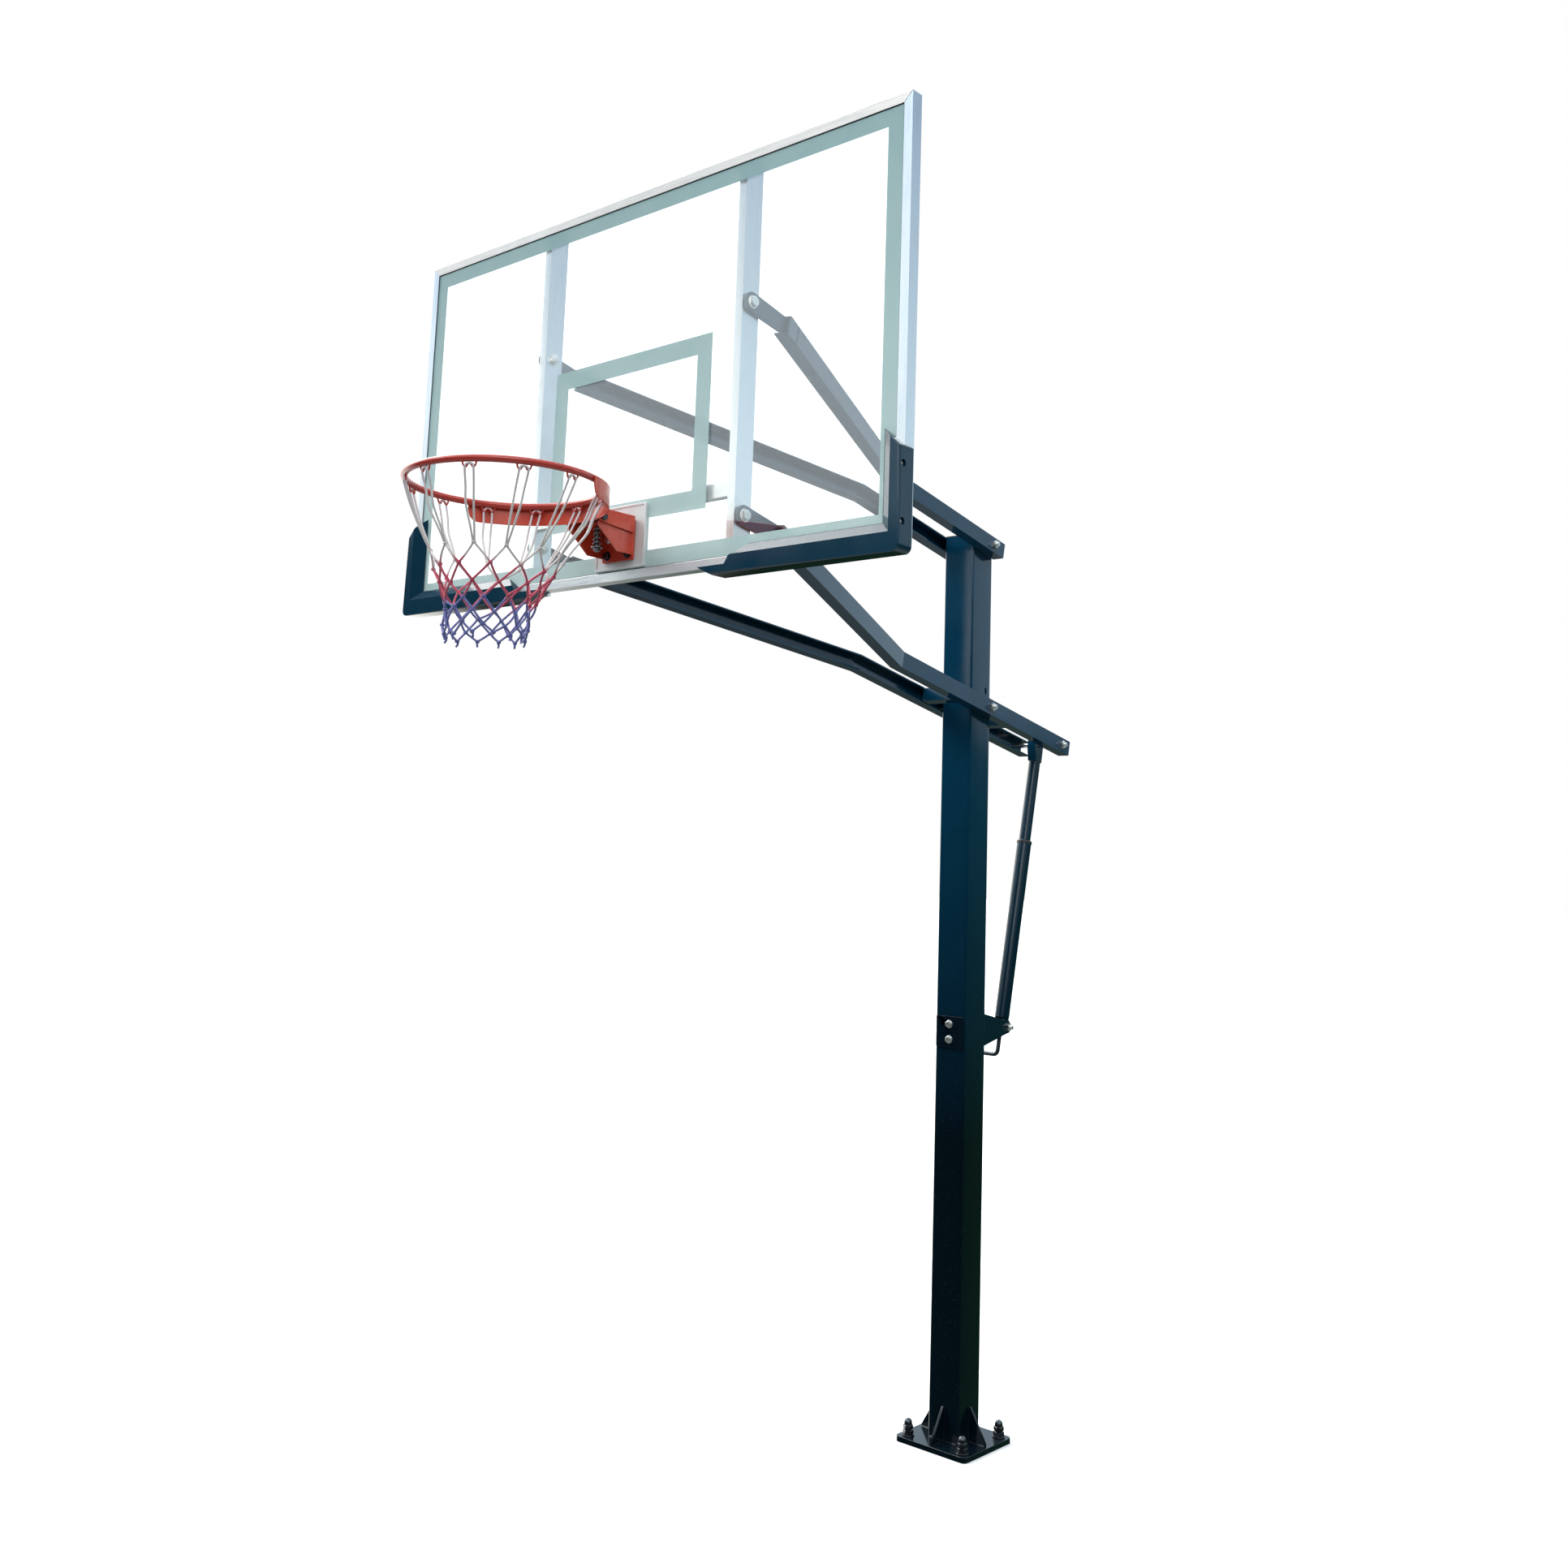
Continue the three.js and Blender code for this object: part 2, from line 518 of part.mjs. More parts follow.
function cornerPad(side) {
  const { outer, bottom, corner } = PAD_SIZE;
  const shape = new THREE.Shape();
  shape.moveTo(PAD_START, bottom).lineTo(outer - corner, bottom);
  shape.absarc(outer - corner, bottom + corner, corner, -Math.PI / 2, 0);
  for (const [x, z] of [...PAD_TOP, ...PAD_END]) {
    shape.lineTo(x, z);
  }
  const handed = outline(shape.getPoints(4).map((point) => [side * point.x, point.y]));
  const board = box(-BOARD.width / 2 - GAP, BOARD.width / 2 + GAP, BOARD.front - GAP, RAIL_BACK,
    BOARD.bottom - GAP, BOARD_TOP);
  return cut(prismY(handed, PAD_SIZE.front, PAD_SIZE.back), board);
}

mesh('corner_pad_left', cornerPad(-1), PAD);
mesh('corner_pad_right', cornerPad(1), PAD);

// ---------------------------------------------------------------- rim mount

const MOUNT_FRONT = GLASS_FRONT - GAP - MOUNT_PLATE.thickness;
const BRACKET = { halfWidth: 57, back: MOUNT_FRONT - GAP, wall: 5, cheek: 4, bottom: 2500, top: 2603 };
const CHEEK = [[BRACKET.back - 1, 2511], [-1643, 2512], [-1709, 2567], [-1709, RIM_PIVOT.z]];
const SHELF = { bottom: 2580, top: 2585, front: -1683 };
const PIN = { radius: 6, hole: 6.4, reach: 71, headRadius: 9, headStart: 64.5 };
const SPRING_SLOT = { radius: 6.5, back: 5.5 };   // lets the tilting spring bolt pass the shelf

function pinHole() {
  return rod(PIN.hole, [-80, RIM_PIVOT.y, RIM_PIVOT.z], [80, RIM_PIVOT.y, RIM_PIVOT.z], 14);
}

function rimBracket() {
  const { halfWidth, back, wall, cheek, bottom, top } = BRACKET;
  const plate = platePiece(halfWidth, bottom, top, back - wall, back, 2);
  const side = outline(CHEEK);
  side.absarc(RIM_PIVOT.y, RIM_PIVOT.z, 9, Math.PI, Math.PI / 2, true);
  side.lineTo(-1690, top).lineTo(back - 1, top);
  const shelf = box(-halfWidth + 1, halfWidth - 1, SHELF.front, back - 1, SHELF.bottom, SHELF.top);
  const slotEnd = (y) => rod(SPRING_SLOT.radius, [0, y, SHELF.bottom - 5], [0, y, SHELF.top + 5], 12);
  const springSlot = join(slotEnd(SPRING.y), slotEnd(SPRING.y + SPRING_SLOT.back),
    box(-SPRING_SLOT.radius, SPRING_SLOT.radius, SPRING.y, SPRING.y + SPRING_SLOT.back,
      SHELF.bottom - 5, SHELF.top + 5));
  const cheeks = [prismX(side, halfWidth - cheek, halfWidth), prismX(side, -halfWidth, -halfWidth + cheek)];
  return cut(join(plate, ...cheeks, shelf), springSlot, pinHole());
}

mesh('rim_mount_plate', platePiece(MOUNT_PLATE.halfWidth, MOUNT_PLATE.bottom, MOUNT_PLATE.top,
  MOUNT_FRONT, GLASS_FRONT - GAP), SILVER);
const BACKING = { halfWidth: 85, bottom: 2478, top: 2644, back: GLASS_BACK + 6 };
mesh('rim_backing_plate', platePiece(BACKING.halfWidth, BACKING.bottom, BACKING.top,
  GLASS_BACK + GAP, BACKING.back), ZINC);
mesh('rim_bracket', rimBracket(), ORANGE);
eachRimBolt.forEach(([x, z], i) => {
  const grip = BACKING.back - (BRACKET.back - BRACKET.wall);
  const rimBolt = mesh(`rim_bolt_${i + 1}`, bolt(RIM_BOLTS.r, grip).rotateX(Math.PI / 2), ZINC);
  rimBolt.position.set(x, BRACKET.back - BRACKET.wall, z);
});

function pinPart(r, x0, x1) {
  return rod(r, [x0, RIM_PIVOT.y, RIM_PIVOT.z], [x1, RIM_PIVOT.y, RIM_PIVOT.z], 14);
}

const pinHeads = [pinPart(PIN.headRadius, -PIN.reach, -PIN.headStart),
  pinPart(PIN.headRadius, PIN.headStart, PIN.reach)];
mesh('rim_pivot_pin', join(pinPart(PIN.radius, 1 - PIN.reach, PIN.reach - 1), ...pinHeads), ZINC);

// ---------------------------------------------------------------- rim

const SKIRT = { inner: RING.radius + RING.bar + 1, wall: 3.5, bottom: 2578, top: 2628, start: 17 };
const TOP_PLATE = { bottom: 2606, top: 2611, ear: 4, earOuter: 63, earBottom: 2566, earRadius: 12 };

function skirtBand() {
  const from = THREE.MathUtils.degToRad(SKIRT.start);
  const shape = new THREE.Shape();
  shape.absarc(0, RING.y, SKIRT.inner + SKIRT.wall, from, Math.PI - from, false);
  shape.absarc(0, RING.y, SKIRT.inner, Math.PI - from, from, true);
  return prismZ(shape, SKIRT.bottom, SKIRT.top, 20);
}

const SPRING_BOLT = { radius: 5, bottom: 2512, seat: 2525, washer: 14, hex: 9 };

// Skirt, top plate and its two ears are one welded piece.
function rimHousing() {
  const { bottom, top, ear, earOuter, earBottom, earRadius } = TOP_PLATE;
  const rear = BRACKET.back - BRACKET.wall - 2.5;
  const arcRadius = SKIRT.inner + SKIRT.wall / 2;
  const shape = new THREE.Shape();
  shape.moveTo(earOuter, rear).lineTo(-earOuter, rear);
  shape.absarc(0, RING.y, arcRadius, THREE.MathUtils.degToRad(115), THREE.MathUtils.degToRad(65), true);
  const lip = new THREE.Shape();
  lip.moveTo(rear, top - 1).lineTo(rear, earBottom).lineTo(RIM_PIVOT.y, RIM_PIVOT.z - earRadius);
  lip.absarc(RIM_PIVOT.y, RIM_PIVOT.z, earRadius, -Math.PI / 2, -Math.PI, true);
  lip.lineTo(RIM_PIVOT.y - earRadius, top - 1);
  const boltHole = rod(SPRING_BOLT.radius + BOLT_PLAY, [0, SPRING.y, bottom - 5], [0, SPRING.y, top + 5], 12);
  return cut(join(skirtBand(), prismZ(shape, bottom, top, 12), prismX(lip, earOuter - ear, earOuter, 5),
    prismX(lip, -earOuter, -earOuter + ear, 5)), pinHole(), boltHole);
}

// Hangs from the top plate; its lower nut and washer squeeze the spring against the shelf.
function springBolt() {
  const { radius, bottom, seat, washer, hex } = SPRING_BOLT;
  const part = (r, z0, z1, sides) => rod(r, [0, SPRING.y, z0], [0, SPRING.y, z1], sides);
  const { top } = TOP_PLATE;
  return join(part(radius, bottom, top + 4, 12), part(12, top + GAP, top + 2.5, 16),
    part(hex, top + 2, top + 9, 6), part(washer, seat - 3, seat, 16), part(hex, bottom + 2, seat - 2, 6));
}

// Helical spring between the washer and the underside of the shelf.
function rimSpring() {
  const low = SPRING_BOLT.seat + SPRING.wire + GAP;
  const high = SHELF.bottom - SPRING.wire - GAP;
  const points = [];
  const count = SPRING.turns * 8;
  for (let i = 0; i <= count; i++) {
    const t = i / count;
    const angle = t * SPRING.turns * Math.PI * 2;
    const r = SPRING.radius - SPRING.wire;
    points.push(new THREE.Vector3(r * Math.cos(angle), SPRING.y + r * Math.sin(angle),
      low + (high - low) * t));
  }
  const wire = new THREE.Shape().absarc(0, 0, SPRING.wire, 0, Math.PI * 2);
  return new THREE.ExtrudeGeometry(wire, {
    steps: count, curveSegments: 3, bevelEnabled: false, extrudePath: new THREE.CatmullRomCurve3(points),
  });
}

// Net as a thin funnel; the profile is (radius, height).
const NET = {
  wall: 3,
  profile: [[227, 2604], [205, 2535], [163, 2445], [122, 2360], [107, 2300], [108, 2236]],
};

function netShell() {
  const outer = [...NET.profile];
  const inner = outer.map(([r, z]) => [r - NET.wall, z]).reverse();
  const profile = [...outer.reverse(), ...inner.reverse()];
  profile.push(profile[0]);
  const points = profile.map(([r, z]) => new THREE.Vector2(r, z));
  return new THREE.LatheGeometry(points, 20).rotateX(Math.PI / 2).translate(0, RING.y, 0);
}

const ring = new THREE.TorusGeometry(RING.radius, RING.bar, 10, 40);
mesh('rim_ring', ring.translate(0, RING.y, RING.z), ORANGE);
mesh('rim_housing', rimHousing(), ORANGE);
mesh('rim_spring_bolt', springBolt(), ZINC);
mesh('rim_spring', rimSpring(), DARK_STEEL);
mesh('net', netShell(), NET_CORD);

// ---------------------------------------------------------------- jack and crank

const jack = new THREE.Group();
jack.position.set(0, JACK_FOOT.y, JACK_FOOT.z);
jack.rotation.x = -JACK_TILT;
object.add(jack);

// The yoke's slot lets the top bolt follow its arc about the pole bolt.
const YOKE = {
  half: 16, neck: 19.4, bottom: JACK_LENGTH - 60, shoulder: JACK_LENGTH - 14, top: JACK_LENGTH + 24,
};
const SLOT = { radius: 9.5, front: -17.5, back: 1, wall: 8 };
const FOOT = { half: 18, side: 19, bore: 9, boreTop: -9 };
const COLLAR = { radius: 25.5, height: 10 };

function jackFoot() {
  const { half, side, bore, boreTop } = FOOT;
  const block = prismX(roundedRect(-half, half, -half, HOUSING.bottom - GAP, 10), -side, side, 4);
  const shaftBore = rod(bore, [0, 0, -2 * half], [0, 0, boreTop], 12);
  const boltHole = rod(JACK_FOOT_BOLT_R + BOLT_PLAY, [-2 * side, 0, 0], [2 * side, 0, 0]);
  return cut(block, boltHole, shaftBore);
}

function jackYoke() {
  const { radius, front, back, wall } = SLOT;
  const reach = radius + wall;
  const { half, neck, bottom, shoulder, top } = YOKE;
  const block = prismX(outline([[-neck, bottom], [neck, bottom], [back + reach, shoulder],
    [back + reach, top], [front - reach, top], [front - reach, shoulder]]), -half, half);
  const past = 2 * half;
  const end = (y) => rod(radius, [-past, y, JACK_LENGTH], [past, y, JACK_LENGTH], 16);
  const slot = join(end(back), end(front),
    box(-past, past, front, back, JACK_LENGTH - radius, JACK_LENGTH + radius));
  return cut(block, slot);
}

function crankRod() {
  const path = new THREE.CurvePath();
  const at = (x, z) => new THREE.Vector3(x, 0, z);
  const { top, drop, reach, bend, grip } = CRANK;
  path.add(new THREE.LineCurve3(at(0, top), at(0, -drop + bend)));
  path.add(new THREE.QuadraticBezierCurve3(at(0, -drop + bend), at(0, -drop), at(-bend, -drop)));
  path.add(new THREE.LineCurve3(at(-bend, -drop), at(-reach + bend, -drop)));
  path.add(new THREE.QuadraticBezierCurve3(at(-reach + bend, -drop), at(-reach, -drop),
    at(-reach, -drop - bend)));
  path.add(new THREE.LineCurve3(at(-reach, -drop - bend), at(-reach, -drop - grip - 20)));
  const bar = new THREE.Shape().absarc(0, 0, CRANK.radius, 0, Math.PI * 2);
  return new THREE.ExtrudeGeometry(bar, {
    steps: 18, curveSegments: 4, bevelEnabled: false, extrudePath: path,
  });
}

mesh('jack_foot', jackFoot(), NAVY, jack);
mesh('jack_housing', collar(HOUSING.bore, HOUSING.radius, HOUSING.bottom, HOUSING.top, 24), NAVY, jack);
mesh('jack_collar', collar(HOUSING.bore, COLLAR.radius, HOUSING.top + GAP,
  HOUSING.top + COLLAR.height, 24), BLACK_PLASTIC, jack);
mesh('jack_rod', rod(ROD.radius, [0, 0, ROD.bottom], [0, 0, YOKE.bottom - GAP], 24), NAVY, jack);
mesh('jack_yoke', jackYoke(), NAVY, jack);
mesh('crank_rod', crankRod(), DARK_STEEL, jack);
const grip = collar(CRANK.radius + 0.4, CRANK.gripRadius, -CRANK.drop - CRANK.grip - 12, -CRANK.drop - 20, 20);
mesh('crank_grip', grip.translate(-CRANK.reach, 0, 0), BLACK_PLASTIC, jack);

export default object;
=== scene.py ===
"""Height-adjustable basketball hoop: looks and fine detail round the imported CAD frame.

Metres, +Z up, the board faces -Y.
"""
import math
import random

import bmesh
import bpy
from mathutils import Matrix, Vector


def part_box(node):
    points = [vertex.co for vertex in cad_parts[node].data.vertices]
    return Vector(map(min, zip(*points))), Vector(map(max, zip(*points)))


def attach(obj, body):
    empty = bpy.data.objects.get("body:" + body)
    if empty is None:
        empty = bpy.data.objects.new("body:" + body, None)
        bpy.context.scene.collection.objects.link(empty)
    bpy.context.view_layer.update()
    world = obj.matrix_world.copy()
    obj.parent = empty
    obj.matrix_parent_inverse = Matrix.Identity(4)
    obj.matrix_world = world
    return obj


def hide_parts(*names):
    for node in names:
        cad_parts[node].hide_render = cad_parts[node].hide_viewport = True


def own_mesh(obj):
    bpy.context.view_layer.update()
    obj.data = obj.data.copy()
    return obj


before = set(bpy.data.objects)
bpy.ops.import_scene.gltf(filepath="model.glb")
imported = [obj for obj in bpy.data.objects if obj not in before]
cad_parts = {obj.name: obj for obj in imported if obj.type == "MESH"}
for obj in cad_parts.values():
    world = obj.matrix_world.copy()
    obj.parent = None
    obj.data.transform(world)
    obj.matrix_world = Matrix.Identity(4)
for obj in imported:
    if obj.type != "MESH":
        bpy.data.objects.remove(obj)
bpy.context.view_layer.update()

random.seed(7)
MM = 0.001


def new_object(name, data):
    made = bpy.data.objects.new(name, data)
    bpy.context.scene.collection.objects.link(made)
    return made


def feed(tree, socket, value):
    """Links value to socket where it is a socket itself, or else sets it there."""
    if isinstance(value, bpy.types.NodeSocket):
        tree.links.new(value, socket)
    else:
        socket.default_value = value


# ------------------------ camera, light, floor

EYE = (2.8571, -4.2008, 1.7527)
YAW, PITCH, ROLL = 0.7392, 0.1437, 0.0380
FOCAL_LENGTH, SENSOR_WIDTH = 35.08, 36


def make_camera():
    """A standing eye in front of the hoop and to its right, looking up at the board."""
    forward = Vector((-math.sin(YAW) * math.cos(PITCH), math.cos(YAW) * math.cos(PITCH),
                      math.sin(PITCH)))
    level = Vector((math.cos(YAW), math.sin(YAW), 0))
    upright = level.cross(forward)
    right = math.cos(ROLL) * level + math.sin(ROLL) * upright
    up = math.cos(ROLL) * upright - math.sin(ROLL) * level
    camera = new_object("camera", bpy.data.cameras.new("camera"))
    axes = Matrix((right, up, -forward)).transposed()
    camera.matrix_world = Matrix.Translation(EYE) @ axes.to_4x4()
    camera.data.sensor_width = SENSOR_WIDTH
    camera.data.lens = FOCAL_LENGTH
    camera.data.shift_x = 0.0209
    camera.data.shift_y = -0.0921
    camera.data.clip_start = 0.05
    camera.data.clip_end = 300
    bpy.context.scene.camera = camera


def make_sky():
    """Bright sky at the front left, bluer at the back right, with a strong soft light to the left
    and a small bright one at the front left. The lower half is dark, greener at the back, and
    starts higher up at the front. White is seen directly and through the glass."""
    world = bpy.data.worlds.new("studio")
    bpy.context.scene.world = world
    world.use_nodes = True
    tree = world.node_tree
    out = tree.nodes["Background"]
    direction = tree.nodes.new("ShaderNodeTexCoord").outputs["Generated"]

    def along(vector, low, high):
        dot = tree.nodes.new("ShaderNodeVectorMath")
        dot.operation = "DOT_PRODUCT"
        tree.links.new(direction, dot.inputs[0])
        dot.inputs[1].default_value = vector
        span = tree.nodes.new("ShaderNodeMapRange")
        span.interpolation_type = "SMOOTHSTEP"
        tree.links.new(dot.outputs["Value"], span.inputs["Value"])
        span.inputs["From Min"].default_value = low
        span.inputs["From Max"].default_value = high
        return span.outputs["Result"]

    def blend(factor, a, b):
        mix = tree.nodes.new("ShaderNodeMix")
        mix.data_type = "RGBA"
        tree.links.new(factor, mix.inputs["Factor"])
        for slot, value in ((6, a), (7, b)):
            if isinstance(value, bpy.types.NodeSocket):
                tree.links.new(value, mix.inputs[slot])
            else:
                mix.inputs[slot].default_value = (*value, 1)
        return mix.outputs[2]

    back_right, tilted_up = (0.68, 0.73, 0), (-0.020, 0.103, 1)
    around = blend(along(back_right, -0.35, 0.35), (1.02, 1.22, 1.36), (0.66, 0.84, 0.98))
    overhead = blend(along((0, 0, 1), 0.35, 0.85), around, (1.70, 1.75, 1.80))
    left_lit = blend(along((-0.83, 0.10, 0.55), 0.80, 0.95), overhead, (7.5, 7.5, 7.2))
    sky = blend(along((-0.48, -0.58, 0.66), 0.990, 0.997), left_lit, (14.0, 14.0, 13.5))
    low = blend(along(back_right, -0.2, 0.6), (0.006, 0.012, 0.012), (0.028, 0.090, 0.040))
    ground = blend(along((0, 0, -1), 0.30, 0.75), low, (0.55, 0.60, 0.60))
    whole = blend(along(tilted_up, 0.152, 0.170), ground, sky)
    whole = blend(along((-0.98, 0.20, 0), 0.82, 0.96), whole, (2.6, 2.6, 2.5))
    path = tree.nodes.new("ShaderNodeLightPath")
    behind_glass = blend(path.outputs["Is Transmission Ray"], whole, (1.4, 1.4, 1.4))
    seen = blend(path.outputs["Is Camera Ray"], behind_glass, (1.0, 1.0, 1.0))
    tree.links.new(seen, out.inputs["Color"])
    bpy.context.scene.view_settings.view_transform = "Standard"


def area_light(name, place, target, size, power, colour):
    light = bpy.data.lights.new(name, "AREA")
    light.size = size
    light.energy = power
    light.color = colour
    lamp = new_object(name, light)
    lamp.location = place
    lamp.rotation_euler = (Vector(target) - Vector(place)).to_track_quat("-Z", "Y").to_euler()


def make_floor():
    """Pale disc just under the base plate."""
    bm = bmesh.new()
    bmesh.ops.create_circle(bm, cap_ends=True, segments=96, radius=90)
    mesh = bpy.data.meshes.new("floor")
    bm.to_mesh(mesh)
    bm.free()
    floor = new_object("floor", mesh)
    floor.location.z = -0.5 * MM
    look = Finish("floor_paint")
    tone = look.ramp(look.noise(1.3, 3), [(0.3, (0.80, 0.80, 0.80)), (0.7, (0.83, 0.83, 0.825))])
    look.plug("Base Color", tone)
    look.plug("Roughness", 0.9)
    mesh.materials.append(look.material)
    floor.visible_glossy = False
    floor.visible_diffuse = False


# ------------------------ procedural finishes

# Height spans of painted shading: the pole is painted darker towards its foot (painted shade), the
# board's aluminium and print lighter low down (painted light) and darker towards its top (painted
# shade).
POLE_PAINTED_SHADE = (0.9, 2.1)
BOARD_PAINTED_LIGHT_AND_SHADE = (2.5, 3.45)
GLASS_IOR = 1.85


class Finish:
    """A Principled material with short calls for the procedural nodes that feed it."""

    def __init__(self, name, stretch=(1, 1, 1)):
        self.material = bpy.data.materials.new(name)
        self.material.use_nodes = True
        self.tree = self.material.node_tree
        self.shader = self.tree.nodes["Principled BSDF"]
        coordinates = self.tree.nodes.new("ShaderNodeTexCoord")
        self.uv = coordinates.outputs["UV"]
        self.place = coordinates.outputs["Object"]
        self.stretched = self.make(
            "ShaderNodeMapping", {"Vector": self.place, "Scale": stretch}).outputs[0]
        self.height = None

    def make(self, kind, inputs, **properties):
        made = self.tree.nodes.new(kind)
        for key, value in properties.items():
            setattr(made, key, value)
        for key, value in inputs.items():
            feed(self.tree, made.inputs[key], value)
        return made

    def plug(self, socket, value):
        feed(self.tree, self.shader.inputs[socket], value)

    def noise(self, scale, detail=2, vector=None):
        return self.make("ShaderNodeTexNoise", {
            "Vector": vector or self.stretched, "Scale": scale, "Detail": detail}).outputs["Fac"]

    def ramp(self, factor, stops):
        made = self.make("ShaderNodeValToRGB", {"Fac": factor})
        elements = made.color_ramp.elements
        while len(elements) < len(stops):
            elements.new(0.5)
        for element, (position, colour) in zip(elements, stops):
            element.position = position
            element.color = (*colour, 1)
        return made.outputs["Color"]

    def span(self, value, low, high, to_low, to_high):
        return self.make("ShaderNodeMapRange", {
            "Value": value, "From Min": low, "From Max": high,
            "To Min": to_low, "To Max": to_high}).outputs["Result"]

    def height_up(self):
        return self.make("ShaderNodeSeparateXYZ", {"Vector": self.place}).outputs["Z"]

    def mix(self, factor, a, b):
        as_colour = [x if isinstance(x, bpy.types.NodeSocket) else (*x, 1) for x in (a, b)]
        return self.make("ShaderNodeMix", {
            "Factor": factor, 6: as_colour[0], 7: as_colour[1]}, data_type="RGBA").outputs[2]

    def bump(self, height, strength, distance):
        inputs = {"Height": height, "Strength": strength, "Distance": distance}
        if self.height:
            inputs["Normal"] = self.height
        self.height = self.make("ShaderNodeBump", inputs).outputs["Normal"]
        self.plug("Normal", self.height)


def surface(name, tones, rough, bumps, metallic=0.0, stretch=(1, 1, 1), patch=3.0, specks=(),
            painted_shading=None, **constants):
    """Colour drifts between tones over patches, roughness within rough. Each bump is
    (noise scale, strength, distance). Specks are (colour, noise scale, start, amount).
    Painted shading by height is (colour, low, high): the colour takes over from the height high down to
    low."""
    look = Finish(name, stretch)
    drift = look.noise(patch, 4)
    step = 0.4 / max(len(tones) - 1, 1)
    colour = look.ramp(drift, [(0.3 + i * step, tone) for i, tone in enumerate(tones)])
    # painted light and shade by height: below the span the low tone takes over
    if painted_shading:
        painted_low_tone, low, high = painted_shading
        colour = look.mix(look.span(look.height_up(), low, high, 0, 1), painted_low_tone, colour)
    for tint, scale, start, amount in specks:
        where = look.noise(scale, 3, look.place)
        colour = look.mix(look.span(where, start, start + 0.08, 0, amount), colour, tint)
    look.plug("Base Color", colour)
    look.plug("Roughness", look.span(look.noise(patch * 2.3, 3), 0.3, 0.7, *rough))
    look.plug("Metallic", metallic)
    for scale, strength, distance in bumps:
        look.bump(look.noise(scale, 2), strength, distance)
    for socket, value in constants.items():
        look.plug(socket.replace("_", " "), value)
    return look.material


def glass_finish():
    look = Finish("board_glass")
    look.plug("Base Color", look.ramp(look.noise(1.5, 3), [
        (0.3, (0.955, 0.99, 0.98)), (0.7, (0.97, 0.995, 0.99))]))
    look.plug("Roughness", look.span(look.noise(5, 5), 0.45, 0.75, 0.0, 0.03))
    look.plug("Transmission Weight", 1.0)
    look.plug("IOR", GLASS_IOR)
    return look.material


def print_finish():
    """Translucent fired-on lines of the board, with painted shade deepening towards its top."""
    look = Finish("board_print")
    cloud = look.noise(9, 5)
    lower = look.ramp(cloud, [(0.3, (0.48, 0.64, 0.63)), (0.7, (0.53, 0.68, 0.67))])
    upper = look.ramp(cloud, [(0.3, (0.19, 0.35, 0.365)), (0.7, (0.23, 0.39, 0.405))])
    # painted shade: the print is painted darker towards the top of the board
    look.plug("Base Color", look.mix(look.span(look.height_up(), *BOARD_PAINTED_LIGHT_AND_SHADE, 0, 1), lower, upper))
    look.plug("Roughness", look.span(cloud, 0.3, 0.7, 0.42, 0.55))
    look.plug("Alpha", 0.80)
    look.bump(look.noise(900, 2), 0.1, 0.0002)
    return look.material


def cord_finish():
    """Twisted cord, white at the top with painted shade turning it mauve by the hooks, crimson in the
    middle and blue at the bottom.
    """
    look = Finish("net_cord")
    shifted = look.make("ShaderNodeMath", {
        0: look.height_up(), 1: look.span(look.noise(16, 2), 0.3, 0.7, -0.010, 0.010)},
        operation="ADD").outputs[0]
    # the last stop is painted shade: the white cord turns mauve by the hooks, under the ring
    bands = look.ramp(look.span(shifted, 2.20, 2.60, 0, 1), [
        (0.0, (0.10, 0.12, 0.40)), (0.315, (0.11, 0.13, 0.43)), (0.350, (0.58, 0.030, 0.085)),
        (0.520, (0.56, 0.025, 0.090)), (0.560, (0.74, 0.66, 0.66)), (0.75, (0.82, 0.79, 0.76)),
        (1.0, (0.70, 0.62, 0.66))])
    twist = look.make("ShaderNodeTexWave", {
        "Vector": look.make("ShaderNodeMapping", {
            "Vector": look.uv, "Rotation": (0, 0, 0.6)}).outputs[0],
        "Scale": 1.0, "Distortion": 0.6, "Detail": 1.0}, wave_type="BANDS").outputs["Fac"]
    # painted shade in the grooves of the twist
    shaded = look.mix(look.span(twist, 0, 0.5, 0.22, 0), bands, (0.22, 0.16, 0.20))
    soiled = look.span(look.noise(140, 3), 0.4, 0.8, 0, 0.18)
    look.plug("Base Color", look.mix(soiled, shaded, (0.60, 0.50, 0.50)))
    look.plug("Roughness", look.span(twist, 0, 1, 0.85, 0.62))
    look.bump(twist, 0.6, 0.0009)
    look.bump(look.noise(2600, 2), 0.4, 0.0003)
    look.plug("Sheen Weight", 0.25)
    return look.material


